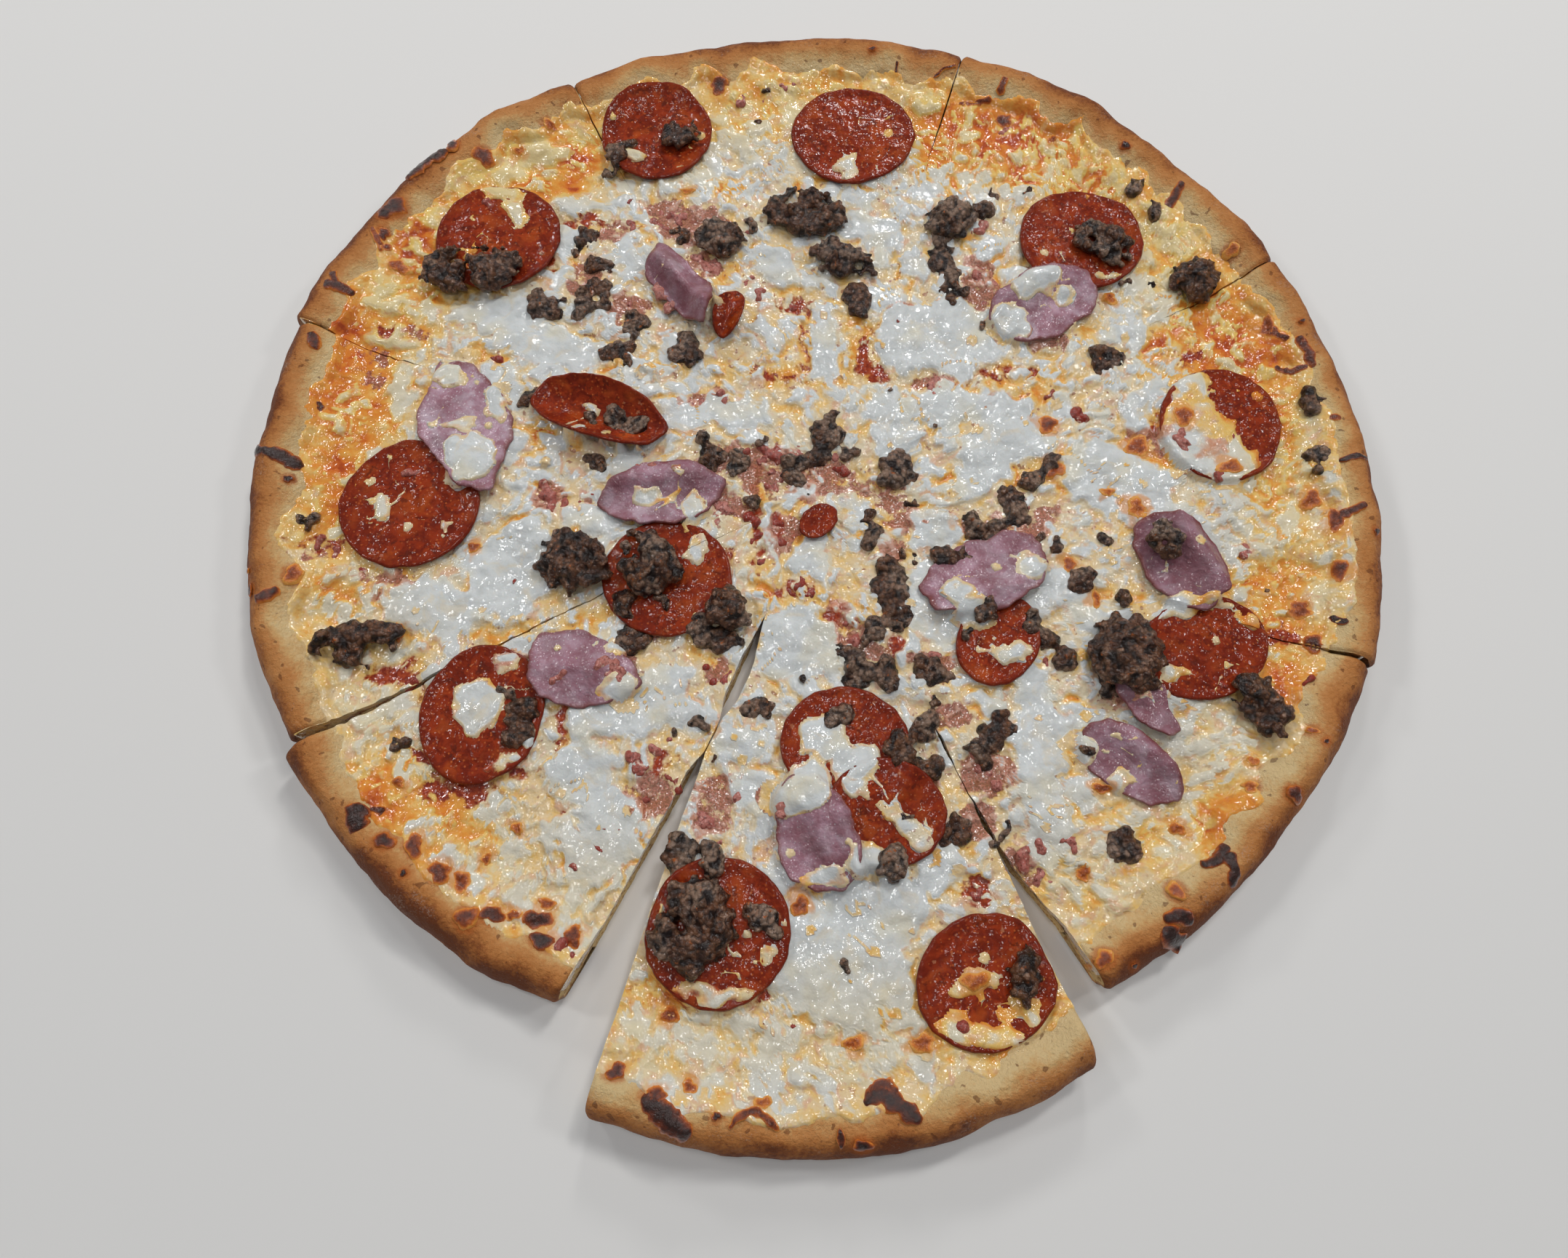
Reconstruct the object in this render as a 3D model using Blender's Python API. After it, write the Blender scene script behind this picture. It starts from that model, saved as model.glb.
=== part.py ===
"""A whole meat pizza, cut into eight slices, with the front slice pulled out a little.

Lengths are in metres and +Z is up. Places on the pizza are given from the point where the
four cuts cross, and angles in degrees, anticlockwise from +X. The pizza rests on z = 0.
"""

import math
import random

import bmesh
import bpy
import numpy as np

MM = 0.001

# Heights through a slice
DOUGH_TOP = 5.5 * MM
CHEESE_TOP = 9.0 * MM
RIM_TOP = 15.0 * MM
RIM_WIDTH = 17.5 * MM
LAYER_GAP = 0.35 * MM
CUT_HALF_GAP = 0.25 * MM
TIP_RADIUS = 2.0 * MM
RIM_SWELL = 0.06
RIM_WAVE = 0.5
FOOT_WAVE = 1.6
CHEESE_RELIEF = 0.9 * MM
CHEESE_SWELL = 0.6 * MM
CHEESE_INSET = 0.1 * MM

# The frame's origin is under the middle of the whole outline, the cuts cross a little behind it
CUTS_CROSS_AT = (-1.1 * MM, 5.1 * MM, 0.0)

PEPPERONI_THICKNESS = 1.5 * MM
PEPPERONI_CUP = 0.7 * MM
HAM_THICKNESS = 1.5 * MM
# How rough the outlines are, as a share of the radius
PEPPERONI_ROUGH = 0.012
HAM_ROUGH = 0.10
CRUMBLE_ROUGH = 0.11
# Heights where the small crumbles are sunk
SUNK_IN_CHEESE = 0.95 * CHEESE_TOP
SUNK_IN_RIM = 0.88 * RIM_TOP
# How far a trimmed topping stays from the cut, in degrees, and the step in mm that finds it
CUT_CLEARANCE = 0.35
TRIM_STEP = 0.25

# Closed cuts, where two slices touch
CUT_A = 119.3
CUT_B = 72.9
CUT_C = 29.4
CUT_D = -17.2
CUT_G = -151.1
CUT_H = 161.4

# Cut edges that lie open or wander, as (distance in mm, angle) pairs
SE_WEST_EDGE = [(0, -61.6), (97, -62.3), (118, -62.0), (136, -60.4), (155, -59.9)]
S_EAST_EDGE = [(0, -62.0), (97, -63.1), (118, -62.8), (138, -63.3), (169, -63.8)]
S_WEST_EDGE = [(0, -105.6), (56, -105.8), (87, -109.0), (130, -108.2), (174, -107.4)]
SW_EAST_EDGE = [(0, -106.6), (52, -109.2), (87, -110.7), (115, -112.0), (154, -113.4)]
SW_WEST_EDGE = [(0, -150.9), (110, -150.7), (161, -150.2)]

# Outer radius of the rim in mm, as (angle, radius) pairs that a smooth line joins
RIM_N = [(70, 165.5), (86, 165.2), (104, 165.0), (122, 165.6)]
RIM_NE = [(27, 164.5), (38, 165.2), (50, 165.5), (60, 167.0), (74, 165.6)]
RIM_E = [(-19, 163.5), (0, 164.0), (15, 164.3), (31, 164.5)]
RIM_SE = [(-62, 155.5), (-44, 157.0), (-33, 158.5), (-24, 161.0), (-16, 163.0)]
RIM_S = [(-109, 175.0), (-85, 175.0), (-78, 174.0), (-72, 172.0), (-62, 169.0)]
RIM_SW = [(-152, 160.8), (-136, 158.5), (-123, 156.6), (-112, 154.0)]
RIM_W = [(160, 165.0), (174, 162.8), (182, 162.0), (195, 161.2), (210, 158.5)]
RIM_NW = [(118, 165.8), (128, 168.2), (134, 168.6), (146, 168.2), (163, 167.2)]

# Section of the rim from its inner foot to its underside: share of the rim's width in from
# the outside, then the share of the rim's height
RIM_SECTION = [
    (0.93, 0.72),
    (0.74, 0.88),
    (0.50, 1.00),
    (0.27, 0.97),
    (0.09, 0.78),
    (0.00, 0.52),
    (0.07, 0.31),
    (0.04, 0.15),
    (0.14, 0.00),
]
COLUMNS = 12
CHEESE_RINGS = 9
# Distances in mm along a cut where the flat dough has corners, from the tip outwards
DOUGH_CORNERS = (30, 60, 90, 115, 132)

# Pepperoni that lie flat: centre, diameter and turn in mm and degrees, then lengthwise and
# crosswise share of the diameter
PEPPERONI = {
    "pepperoni_01": (-51, 124, 36, 10, 1.00, 1.00),
    "pepperoni_02": (12, 125, 40, 0, 1.00, 0.94),
    "pepperoni_03": (-98, 84, 39, 20, 1.00, 0.98),
    "pepperoni_04": (83, 87, 39, 0, 1.00, 0.92),
    "pepperoni_05": (120, 24, 37, 0, 0.96, 1.00),
    "pepperoni_06": (-114, -6, 41, 30, 1.00, 0.97),
    "pepperoni_08": (-87, -67, 39, 80, 1.00, 0.86),
    "pepperoni_09": (-39, -27, 37, 0, 1.00, 0.94),
    "pepperoni_10": (47, -132, 37, 30, 1.00, 0.88),
    "pepperoni_11": (-21, -122, 39, 0, 0.97, 0.97),
    "pepperoni_12": (109, -44, 37, 20, 1.00, 0.78),
    "pepperoni_13": (11, -73, 35, 0, 1.00, 0.90),
    "pepperoni_14": (22, -91, 32, 0, 1.00, 0.90),
    "pepperoni_15": (3, -9, 13, 40, 1.00, 0.72),
    "pepperoni_16": (53, -43, 28, 60, 1.00, 0.80),
}
# These pieces end where the cuts on either side of the front slice go through them
TRIMMED_AT_EAST_CUT = ("pepperoni_10",)
TRIMMED_AT_WEST_CUT = ("pepperoni_11",)

# Pepperoni folded into a trough: centre, length, width, turn, height of the folded sides
FOLDED_PEPPERONI = {
    "pepperoni_07": (-62, 23, 45, 19, -17, 7.0),
    "pepperoni_17": (-25, 57, 17, 9, 75, 5.0),
}

# Ham slices: centre, length, width, turn, height of the fold, place of the fold across the
# slice from -1 to 1, seed of the torn outline
HAM = {
    "ham_01": (-101, 19, 45, 26, 112, 1.5, 0.6, 11),
    "ham_02": (-40, 67, 34, 15, 128, 5.5, 0.0, 12),
    "ham_03": (70, 63, 34, 23, 25, 3.5, 0.7, 13),
    "ham_04": (-42, -2, 36, 19, 8, 4.5, 0.6, 14),
    "ham_05": (50, -24, 42, 22, 22, 3.0, -0.5, 15),
    "ham_06": (104, -19, 33, 22, -62, 7.0, 0.5, 16),
    "ham_07": (87, -76, 33, 17, -35, 4.5, 0.6, 17),
    "ham_08": (92, -60, 24, 11, -58, 2.5, 0.0, 18),
    "ham_09": (4, -97, 33, 23, 100, 3.5, -0.8, 19),
    "ham_10": (-61, -54, 34, 22, -8, 3.0, 0.0, 20),
}

# Large crumbles of browned minced meat: centre, length, width, turn, height, seed
CRUMBLES = {
    "crumble_01": (-104, 71, 40, 16, 4, 6.0, 31),
    "crumble_02": (-29, 85, 18, 13, 10, 5.5, 32),
    "crumble_03": (-2, 95, 29, 18, 0, 6.8, 33),
    "crumble_04": (9, 78, 24, 12, -12, 5.5, 34),
    "crumble_05": (43, 93, 19, 14, 35, 6.0, 35),
    "crumble_06": (-43, 122, 15, 10, 35, 4.8, 36),
    "crumble_07": (89, 84, 22, 14, -20, 5.5, 37),
    "crumble_08": (117, 73, 16, 15, 0, 6.8, 38),
    "crumble_09": (99, -14, 13, 9, -65, 6.0, 39),
    "crumble_10": (87, -46, 20, 23, 0, 6.8, 40),
    "crumble_11": (123, -61, 25, 12, -52, 6.0, 41),
    "crumble_12": (-123, -48, 25, 14, 12, 6.4, 42),
    "crumble_13": (-65, -23, 24, 19, -10, 6.8, 43),
    "crumble_14": (-44, -24, 19, 21, 0, 7.2, 44),
    "crumble_15": (-22, -36, 14, 13, 30, 6.0, 45),
    "crumble_16": (-27, -121, 22, 24, 0, 7.2, 46),
    "crumble_17": (56, -131, 8, 17, -5, 5.2, 47),
}

# Smaller crumbles, fused to the cheese that they are sunk in: centre, size, half their height
CHEESE_CRUMBLES = [
    (-80, 58, 9, 2.6), (-72, 84, 11, 2.8), (-67, 64, 12, 2.9), (-58, 44, 11, 2.8),
    (-54, 54, 9, 2.6), (-38, 45, 11, 2.8), (43, 70, 12, 2.8), (39, 80, 9, 2.6),
    (14, 64, 9, 2.6), (88, 46, 11, 2.8), (54, 99, 8, 2.6), (-64, 112, 8, 2.6),
    (4, 19, 10, 2.6), (-12, 11, 9, 2.4), (-22, 12, 8, 2.4), (25, 8, 13, 2.8),
    (69, 8, 7, 2.4), (58, -3, 9, 2.4), (21, -25, 10, 2.8), (22, -34, 8, 2.6),
    (77, -25, 9, 2.6), (84, -98, 11, 2.8), (14, -49, 8, 2.4), (21, -56, 8, 2.4),
    (33, -68, 10, 2.6), (50, -70, 10, 2.6), (40, -95, 9, 2.6), (23, -112, 9, 2.6),
    (-31, -103, 13, 2.8), (-62, 6, 8, 2.6), (-109, -75, 5, 2.0), (12, -129, 5, 2.0),
    (100, 98, 7, 2.4),
]
# Small crumbles fused to the inner slope of the rim
RIM_CRUMBLES = [
    (147, 32, 9, 2.8), (149, 12, 9, 2.6), (-147, -13, 6, 2.2), (101, 113, 8, 2.6),
]

# Colours in linear RGB, then roughness
CRUST_LOOK = ((0.56, 0.30, 0.12), 0.70)
CHEESE_LOOK = ((0.78, 0.70, 0.50), 0.35)
PEPPERONI_LOOK = ((0.38, 0.05, 0.02), 0.35)
HAM_LOOK = ((0.42, 0.17, 0.18), 0.40)
CRUMBLE_LOOK = ((0.08, 0.04, 0.022), 0.60)

MAP_STEP = 1.0 * MM
MAP_HALF = 190
MAP_EDGE = -1.0
# Passes that lift a topping until it clears all that is below it
LIFT_PASSES = 14


def clear_scene():
    for obj in list(bpy.data.objects):
        bpy.data.objects.remove(obj, do_unlink=True)


def smooth_line(pairs, x):
    """Value at x of a line through (x, value) pairs, with its corners eased."""
    pairs = sorted(pairs)
    if x <= pairs[0][0]:
        return pairs[0][1]
    for (x0, y0), (x1, y1) in zip(pairs, pairs[1:]):
        if x <= x1:
            t = (x - x0) / (x1 - x0)
            return y0 + (y1 - y0) * t * t * (3 - 2 * t)
    return pairs[-1][1]


def straight_line(pairs, x):
    xs, ys = zip(*pairs)
    return float(np.interp(x, xs, ys))


def waves(seed, count, low, high):
    """A seeded sum of sines of two angles, which bends outlines and surfaces by -1 to 1."""
    draw = random.Random(seed)
    terms = []
    for _ in range(count):
        terms.append((draw.uniform(low, high), draw.uniform(low, high), draw.uniform(0, math.tau)))

    def value(x, y):
        return sum(math.sin(a * x + b * y + phase) for a, b, phase in terms) / count ** 0.5
    return value


def polar(radius, degrees):
    return radius * math.cos(math.radians(degrees)), radius * math.sin(math.radians(degrees))


class HeightMap:
    """The highest point so far over each millimetre of the pizza."""

    def __init__(self):
        self.heights = np.full((2 * MAP_HALF + 1, 2 * MAP_HALF + 1), MAP_EDGE)

    def cells(self, x_low, x_high, y_low, y_high):
        """Index ranges of the grid points inside a box."""
        i0 = math.ceil(x_low / MAP_STEP) + MAP_HALF
        i1 = math.floor(x_high / MAP_STEP) + MAP_HALF
        j0 = math.ceil(y_low / MAP_STEP) + MAP_HALF
        j1 = math.floor(y_high / MAP_STEP) + MAP_HALF
        return i0, i1 + 1, j0, j1 + 1

    def triangle_heights(self, corners):
        """Grid ranges under a triangle, which points lie inside, and its height there."""
        (ax, ay, az), (bx, by, bz), (cx, cy, cz) = corners
        i0, i1, j0, j1 = self.cells(min(ax, bx, cx), max(ax, bx, cx), min(ay, by, cy), max(ay, by, cy))
        area = (bx - ax) * (cy - ay) - (cx - ax) * (by - ay)
        if i1 <= i0 or j1 <= j0 or abs(area) < 1e-12:
            return None
        xs = ((np.arange(i0, i1) - MAP_HALF) * MAP_STEP)[:, None]
        ys = ((np.arange(j0, j1) - MAP_HALF) * MAP_STEP)[None, :]
        u = ((xs - ax) * (cy - ay) - (cx - ax) * (ys - ay)) / area
        v = ((bx - ax) * (ys - ay) - (xs - ax) * (by - ay)) / area
        inside = (u >= -1e-6) & (v >= -1e-6) & (u + v <= 1 + 1e-6)
        return (i0, i1, j0, j1), inside, az + u * (bz - az) + v * (cz - az)

    def add(self, vertices, triangles):
        for triangle in triangles:
            found = self.triangle_heights([vertices[k] for k in triangle])
            if found:
                (i0, i1, j0, j1), inside, z = found
                window = self.heights[i0:i1, j0:j1]
                np.maximum(window, np.where(inside, z, MAP_EDGE), out=window)
        for x, y, z in vertices:
            i = math.floor(x / MAP_STEP) + MAP_HALF
            j = math.floor(y / MAP_STEP) + MAP_HALF
            window = self.heights[i:i + 2, j:j + 2]
            np.maximum(window, z, out=window)

    def spread(self, steps):
        """The map with each point raised to the highest within a few steps of it."""
        wide = self.heights.copy()
        for _ in range(steps):
            grown = wide.copy()
            for di, dj in ((1, 0), (-1, 0), (0, 1), (0, -1), (1, 1), (-1, -1), (1, -1), (-1, 1)):
                np.maximum(grown, np.roll(wide, (di, dj), (0, 1)), out=grown)
            wide = grown
        return wide


def at(grid, x, y):
    return grid[round(x / MAP_STEP) + MAP_HALF, round(y / MAP_STEP) + MAP_HALF]


def material(name, look):
    colour, roughness = look
    made = bpy.data.materials.new(name)
    made.use_nodes = True
    shader = made.node_tree.nodes["Principled BSDF"]
    shader.inputs["Base Color"].default_value = (*colour, 1.0)
    shader.inputs["Roughness"].default_value = roughness
    shader.inputs["Metallic"].default_value = 0.0
    return made


def mesh_object(name, vertices, faces, look, centre=(0.0, 0.0)):
    """An object whose mesh is given from the crossing of the cuts, placed by its location."""
    mesh = bpy.data.meshes.new(name)
    local = [(x - centre[0], y - centre[1], z) for x, y, z in vertices]
    mesh.from_pydata(local, [], faces)
    shape = bmesh.new()
    shape.from_mesh(mesh)
    bmesh.ops.recalc_face_normals(shape, faces=shape.faces)
    shape.to_mesh(mesh)
    shape.free()
    mesh.shade_smooth()
    mesh.set_sharp_from_angle(angle=math.radians(40))
    obj = bpy.data.objects.new(name, mesh)
    obj.location = (centre[0], centre[1], 0.0)
    mesh.materials.append(material(name, look))
    bpy.context.scene.collection.objects.link(obj)
    return obj


def solid_triangles(obj, centre=(0.0, 0.0)):
    """The vertices from the crossing of the cuts, and the triangles, of an object as it stands."""
    mesh = obj.data
    mesh.calc_loop_triangles()
    vertices = [(v.co.x + centre[0], v.co.y + centre[1], v.co.z) for v in mesh.vertices]
    return vertices, [tuple(triangle.vertices) for triangle in mesh.loop_triangles]


class Slice:
    """One slice: its two cut edges as angles for each distance, and its rim's radius."""

    def __init__(self, name, right, left, rim, seed):
        self.name = name
        self.right = right
        self.left = left
        self.rim = rim
        self.wave = waves(seed, 5, 0.04, 0.16)

    def edge(self, pairs, radius, side):
        gap = math.degrees(CUT_HALF_GAP / max(radius, TIP_RADIUS))
        return straight_line(pairs, radius / MM) + side * gap

    def angle(self, radius, share, inset=0.0):
        """Angle at a share of the way from the right cut to the left one."""
        right = self.edge(self.right, radius, 1)
        left = self.edge(self.left, radius, -1)
        trim = math.degrees(inset / radius)
        return right + trim + (left - right - 2 * trim) * share

    def outer(self, share):
        """Radius of the rim at a share of the way across."""
        angle = self.angle(165 * MM, share)
        bumps = RIM_WAVE * self.wave(7 * angle, 3 * angle)
        return (smooth_line(self.rim, angle) + bumps) * MM

    def foot(self, share):
        """Radius of the wavy line where the cheese meets the rim."""
        angle = self.angle(150 * MM, share)
        return self.outer(share) - RIM_WIDTH + FOOT_WAVE * MM * self.wave(3 * angle, 5 * angle)

    def place(self, radius, share, inset=0.0):
        return polar(radius, self.angle(radius, share, inset))

    def cheese_height(self, x, y, share_out):
        """Top of the cheese: uneven, a little thinner towards the rim and at the tip."""
        relief = CHEESE_RELIEF * self.wave(x / MM * 1.4, y / MM * 1.4)
        return CHEESE_TOP + relief + CHEESE_SWELL * math.sin(math.pi * share_out)


def slices():
    closed = {cut: [(0, cut), (175, cut)] for cut in (CUT_A, CUT_B, CUT_C, CUT_D, CUT_H)}
    west_edge = [(0, CUT_G + 360), (175, CUT_G + 360)]
    return [
        Slice("n", closed[CUT_B], closed[CUT_A], RIM_N, 1),
        Slice("ne", closed[CUT_C], closed[CUT_B], RIM_NE, 2),
        Slice("e", closed[CUT_D], closed[CUT_C], RIM_E, 3),
        Slice("se", SE_WEST_EDGE, closed[CUT_D], RIM_SE, 4),
        Slice("s", S_WEST_EDGE, S_EAST_EDGE, RIM_S, 5),
        Slice("sw", SW_WEST_EDGE, SW_EAST_EDGE, RIM_SW, 6),
        Slice("w", closed[CUT_H], west_edge, RIM_W, 7),
        Slice("nw", closed[CUT_A], closed[CUT_H], RIM_NW, 8),
    ]


def crust_solid(piece):
    """Flat dough under the cheese, and a domed rim with a crease low on its outer side."""
    columns = [k / COLUMNS for k in range(COLUMNS + 1)]
    radii = [TIP_RADIUS] + [corner * MM for corner in DOUGH_CORNERS]
    vertices, faces = [], []

    def add(radius, share, z):
        vertices.append((*piece.place(radius, share), z))
        return len(vertices) - 1

    sides = {0: [], 1: []}
    for share in (0, 1):
        for radius in radii:
            sides[share].append((add(radius, share, DOUGH_TOP), add(radius, share, 0.0)))

    section = []
    for share in columns:
        outer, foot = piece.outer(share), piece.foot(share)
        width = outer - foot
        swell = 1 + RIM_SWELL * piece.wave(90 * share, 40)
        column = [add(foot, share, DOUGH_TOP)]
        for across, height in RIM_SECTION:
            column.append(add(outer - across * width, share, RIM_TOP * swell * height))
        column.append(add(foot, share, 0.0))
        section.append(column)

    rim_rows = len(RIM_SECTION) + 1
    for a, b in zip(section, section[1:]):
        for k in range(rim_rows - 1):
            faces.append((a[k], a[k + 1], b[k + 1], b[k]))
    for share, column in ((0, section[0]), (1, section[-1])):
        faces.append(tuple(column))
        ends = sides[share] + [(column[0], column[-1])]
        for (top0, low0), (top1, low1) in zip(ends, ends[1:]):
            faces.append((top0, top1, low1, low0))
    tip_right, tip_left = sides[0][0], sides[1][0]
    faces.append((tip_right[0], tip_left[0], tip_left[1], tip_right[1]))

    dough = [top for top, _ in sides[0]] + [c[0] for c in section] + [top for top, _ in sides[1]][::-1]
    faces.append(tuple(dough))
    under = [low for _, low in sides[0]] + [section[0][-1]] + [c[-2] for c in section]
    under += [section[-1][-1]] + [low for _, low in sides[1]][::-1]
    faces.append(tuple(under))
    return mesh_object(f"crust_{piece.name}", vertices, faces, CRUST_LOOK)


def cheese_solid(piece):
    """The layer of sauce and melted cheese that runs through the slice up to the rim."""
    bottom = DOUGH_TOP + LAYER_GAP
    vertices, faces = [], []
    grid = []
    for j in range(COLUMNS + 1):
        share = j / COLUMNS
        reach = piece.foot(share) - LAYER_GAP * 1.2
        column = []
        for i in range(CHEESE_RINGS + 1):
            out = (i / CHEESE_RINGS) ** 0.8
            radius = TIP_RADIUS + (reach - TIP_RADIUS) * out
            x, y = piece.place(radius, share, CHEESE_INSET)
            vertices.append((x, y, piece.cheese_height(x, y, out)))
            column.append(len(vertices) - 1)
        vertices.append((*piece.place(TIP_RADIUS, share, CHEESE_INSET), bottom))
        vertices.append((*piece.place(reach, share, CHEESE_INSET), bottom))
        grid.append((column, len(vertices) - 2, len(vertices) - 1))
    for (a, _, _), (b, _, _) in zip(grid, grid[1:]):
        for i in range(CHEESE_RINGS):
            faces.append((a[i], a[i + 1], b[i + 1], b[i]))

    for (a, low_in_a, low_out_a), (b, low_in_b, low_out_b) in zip(grid, grid[1:]):
        faces.append((a[-1], low_out_a, low_out_b, b[-1]))
        faces.append((a[0], b[0], low_in_b, low_in_a))

    under = []
    for share, (column, low_in, low_out) in ((0, grid[0]), (1, grid[-1])):
        lows = [low_in]
        for i in range(1, CHEESE_RINGS):
            x, y, _ = vertices[column[i]]
            vertices.append((x, y, bottom))
            lows.append(len(vertices) - 1)
        lows.append(low_out)
        for i in range(CHEESE_RINGS):
            faces.append((column[i], column[i + 1], lows[i + 1], lows[i]))
        under.append(lows)
    outline = under[0] + [low_out for _, _, low_out in grid[1:-1]] + under[1][::-1]
    outline += [low_in for _, low_in, _ in grid[1:-1]][::-1]
    faces.append(tuple(outline))
    return mesh_object(f"cheese_{piece.name}", vertices, faces, CHEESE_LOOK)


def lump(x, y, z, size, height, seed):
    """A small rough crumble, sunk by about half."""
    draw = random.Random(seed)
    shape = bmesh.new()
    bmesh.ops.create_icosphere(shape, subdivisions=1, radius=1.0)
    turn = draw.uniform(0, math.tau)
    wide = draw.uniform(0.8, 1.15)
    for vertex in shape.verts:
        grow = draw.uniform(0.85, 1.15) * size / 2
        px, py, pz = vertex.co * grow
        vertex.co.x = x + (px * math.cos(turn) - py * math.sin(turn)) * wide
        vertex.co.y = y + px * math.sin(turn) + py * math.cos(turn)
        rise = pz / (size / 2) * height
        vertex.co.z = z + (rise if rise > 0 else 0.7 * rise)
    mesh = bpy.data.meshes.new("lump")
    shape.to_mesh(mesh)
    shape.free()
    return bpy.data.objects.new("lump", mesh)


def fuse_crumbles(piece, obj, crumbs, sunk):
    """Joins the small crumbles that lie on this slice to its cheese or its rim."""
    lumps = bpy.data.collections.new(f"lumps_{piece.name}")
    bpy.context.scene.collection.children.link(lumps)
    for k, (x, y, size, height) in enumerate(crumbs):
        radius = math.hypot(x, y) * MM
        right, left = piece.angle(radius, 0), piece.angle(radius, 1)
        angle = math.degrees(math.atan2(y, x))
        angle += 360 * (angle < right - 30)
        clear = math.degrees(0.66 * size * MM / radius)
        if right - 1 < angle < left + 1 and left - right > 2 * clear:
            px, py = polar(radius, min(max(angle, right + clear), left - clear))
            lumps.objects.link(lump(px, py, sunk, size * MM, height * MM, 100 + k))
    if lumps.objects:
        union = obj.modifiers.new("crumbles", "BOOLEAN")
        union.operation = "UNION"
        union.solver = "EXACT"
        union.operand_type = "COLLECTION"
        union.collection = lumps
        bpy.context.view_layer.update()
        graph = bpy.context.evaluated_depsgraph_get()
        obj.data = bpy.data.meshes.new_from_object(obj.evaluated_get(graph))
        obj.modifiers.clear()
    for one in list(lumps.objects):
        bpy.data.objects.remove(one, do_unlink=True)
    bpy.data.collections.remove(lumps)


def draped(name, ground, look, centre, outline, thickness, lift, rings, spokes):
    """A slab laid on what is below it: its underside keeps a small gap to the height map.

    outline(angle) gives the radius in mm, thickness(share out, angle) and lift(x, y, share
    out) give heights in metres, with x and y from the slab's own centre in mm.
    """
    cx, cy = centre[0] * MM, centre[1] * MM
    wide = ground.spread(3)
    near = ground.spread(1)
    places = [(0.0, 0.0, 0.0, 0.0)]
    for ring in range(1, rings + 1):
        out = (ring / rings) ** 0.85
        for k in range(spokes):
            angle = math.tau * (k + 0.5 * (ring % 2)) / spokes
            radius = outline(angle) * out
            places.append((radius * math.cos(angle), radius * math.sin(angle), out, angle))
    plan = [(cx + x * MM, cy + y * MM) for x, y, _, _ in places]
    support = np.array([at(wide, x, y) for x, y in plan])
    rest = 0.5 * support + 0.5 * support.mean()
    low = rest + np.array([lift(x, y, out) for x, y, out, _ in places])

    def ring_index(ring, k):
        return 0 if ring == 0 else 1 + (ring - 1) * spokes + k % spokes

    triangles = []
    for k in range(spokes):
        triangles.append((0, ring_index(1, k), ring_index(1, k + 1)))
        for ring in range(1, rings):
            shift = 0 if ring % 2 else -1
            a, b = ring_index(ring, k), ring_index(ring, k + 1)
            c, d = ring_index(ring + 1, k + 1 + shift), ring_index(ring + 1, k + 1 + shift + 1)
            triangles.append((a, c, b))
            triangles.append((b, c, d))

    for _ in range(LIFT_PASSES):
        raised = low.copy()
        for triangle in triangles:
            corners = [(*plan[k], low[k]) for k in triangle]
            found = ground.triangle_heights(corners)
            if not found:
                continue
            (i0, i1, j0, j1), inside, z = found
            short = np.where(inside, near[i0:i1, j0:j1] + LAYER_GAP - z, 0.0).max()
            for k in triangle:
                raised[k] = max(raised[k], low[k] + short)
        for k, (x, y) in enumerate(plan):
            raised[k] = max(raised[k], at(near, x, y) + LAYER_GAP)
        if np.allclose(raised, low, atol=1e-6):
            break
        low = raised

    count = len(places)
    vertices = [(*plan[k], low[k]) for k in range(count)]
    for k, (_, _, out, angle) in enumerate(places):
        vertices.append((*plan[k], low[k] + thickness(out, angle)))
    faces = [tuple(reversed(triangle)) for triangle in triangles]
    faces += [tuple(k + count for k in triangle) for triangle in triangles]
    for k in range(spokes):
        a, b = ring_index(rings, k), ring_index(rings, k + 1)
        faces.append((a, b, b + count))
        faces.append((a, b + count, a + count))
    obj = mesh_object(name, vertices, faces, look, (cx, cy))
    ground.add(*solid_triangles(obj, (cx, cy)))
    return obj


def oval(length, width, turn, rough=0.0, seed=0):
    """Outline of an oval, turned, with a seeded rough edge. Lengths in mm."""
    wave = waves(seed, 4, 1, 4)
    spin = math.radians(turn)

    def radius(angle):
        a = angle - spin
        plain = length * width / 2 / math.hypot(width * math.cos(a), length * math.sin(a))
        return plain * (1 + rough * wave(math.cos(angle) * 1.6, math.sin(angle) * 1.6))
    return radius


def trimmed(outline, centre, edge, side):
    """An outline that stops short of a cut edge. side is 1 where the slice is left of it."""
    def radius(angle):
        reach = outline(angle)
        while reach > 1:
            x = centre[0] + reach * math.cos(angle)
            y = centre[1] + reach * math.sin(angle)
            off = math.degrees(math.atan2(y, x)) - straight_line(edge, math.hypot(x, y))
            if off * side > CUT_CLEARANCE:
                return reach
            reach -= TRIM_STEP
        return reach
    return radius


def across(x, y, length, width, turn):
    """Place of a point along and across a turned slab, each from -1 to 1."""
    spin = math.radians(turn)
    along = (x * math.cos(spin) + y * math.sin(spin)) / (length / 2)
    aside = (-x * math.sin(spin) + y * math.cos(spin)) / (width / 2)
    return along, aside


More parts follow.
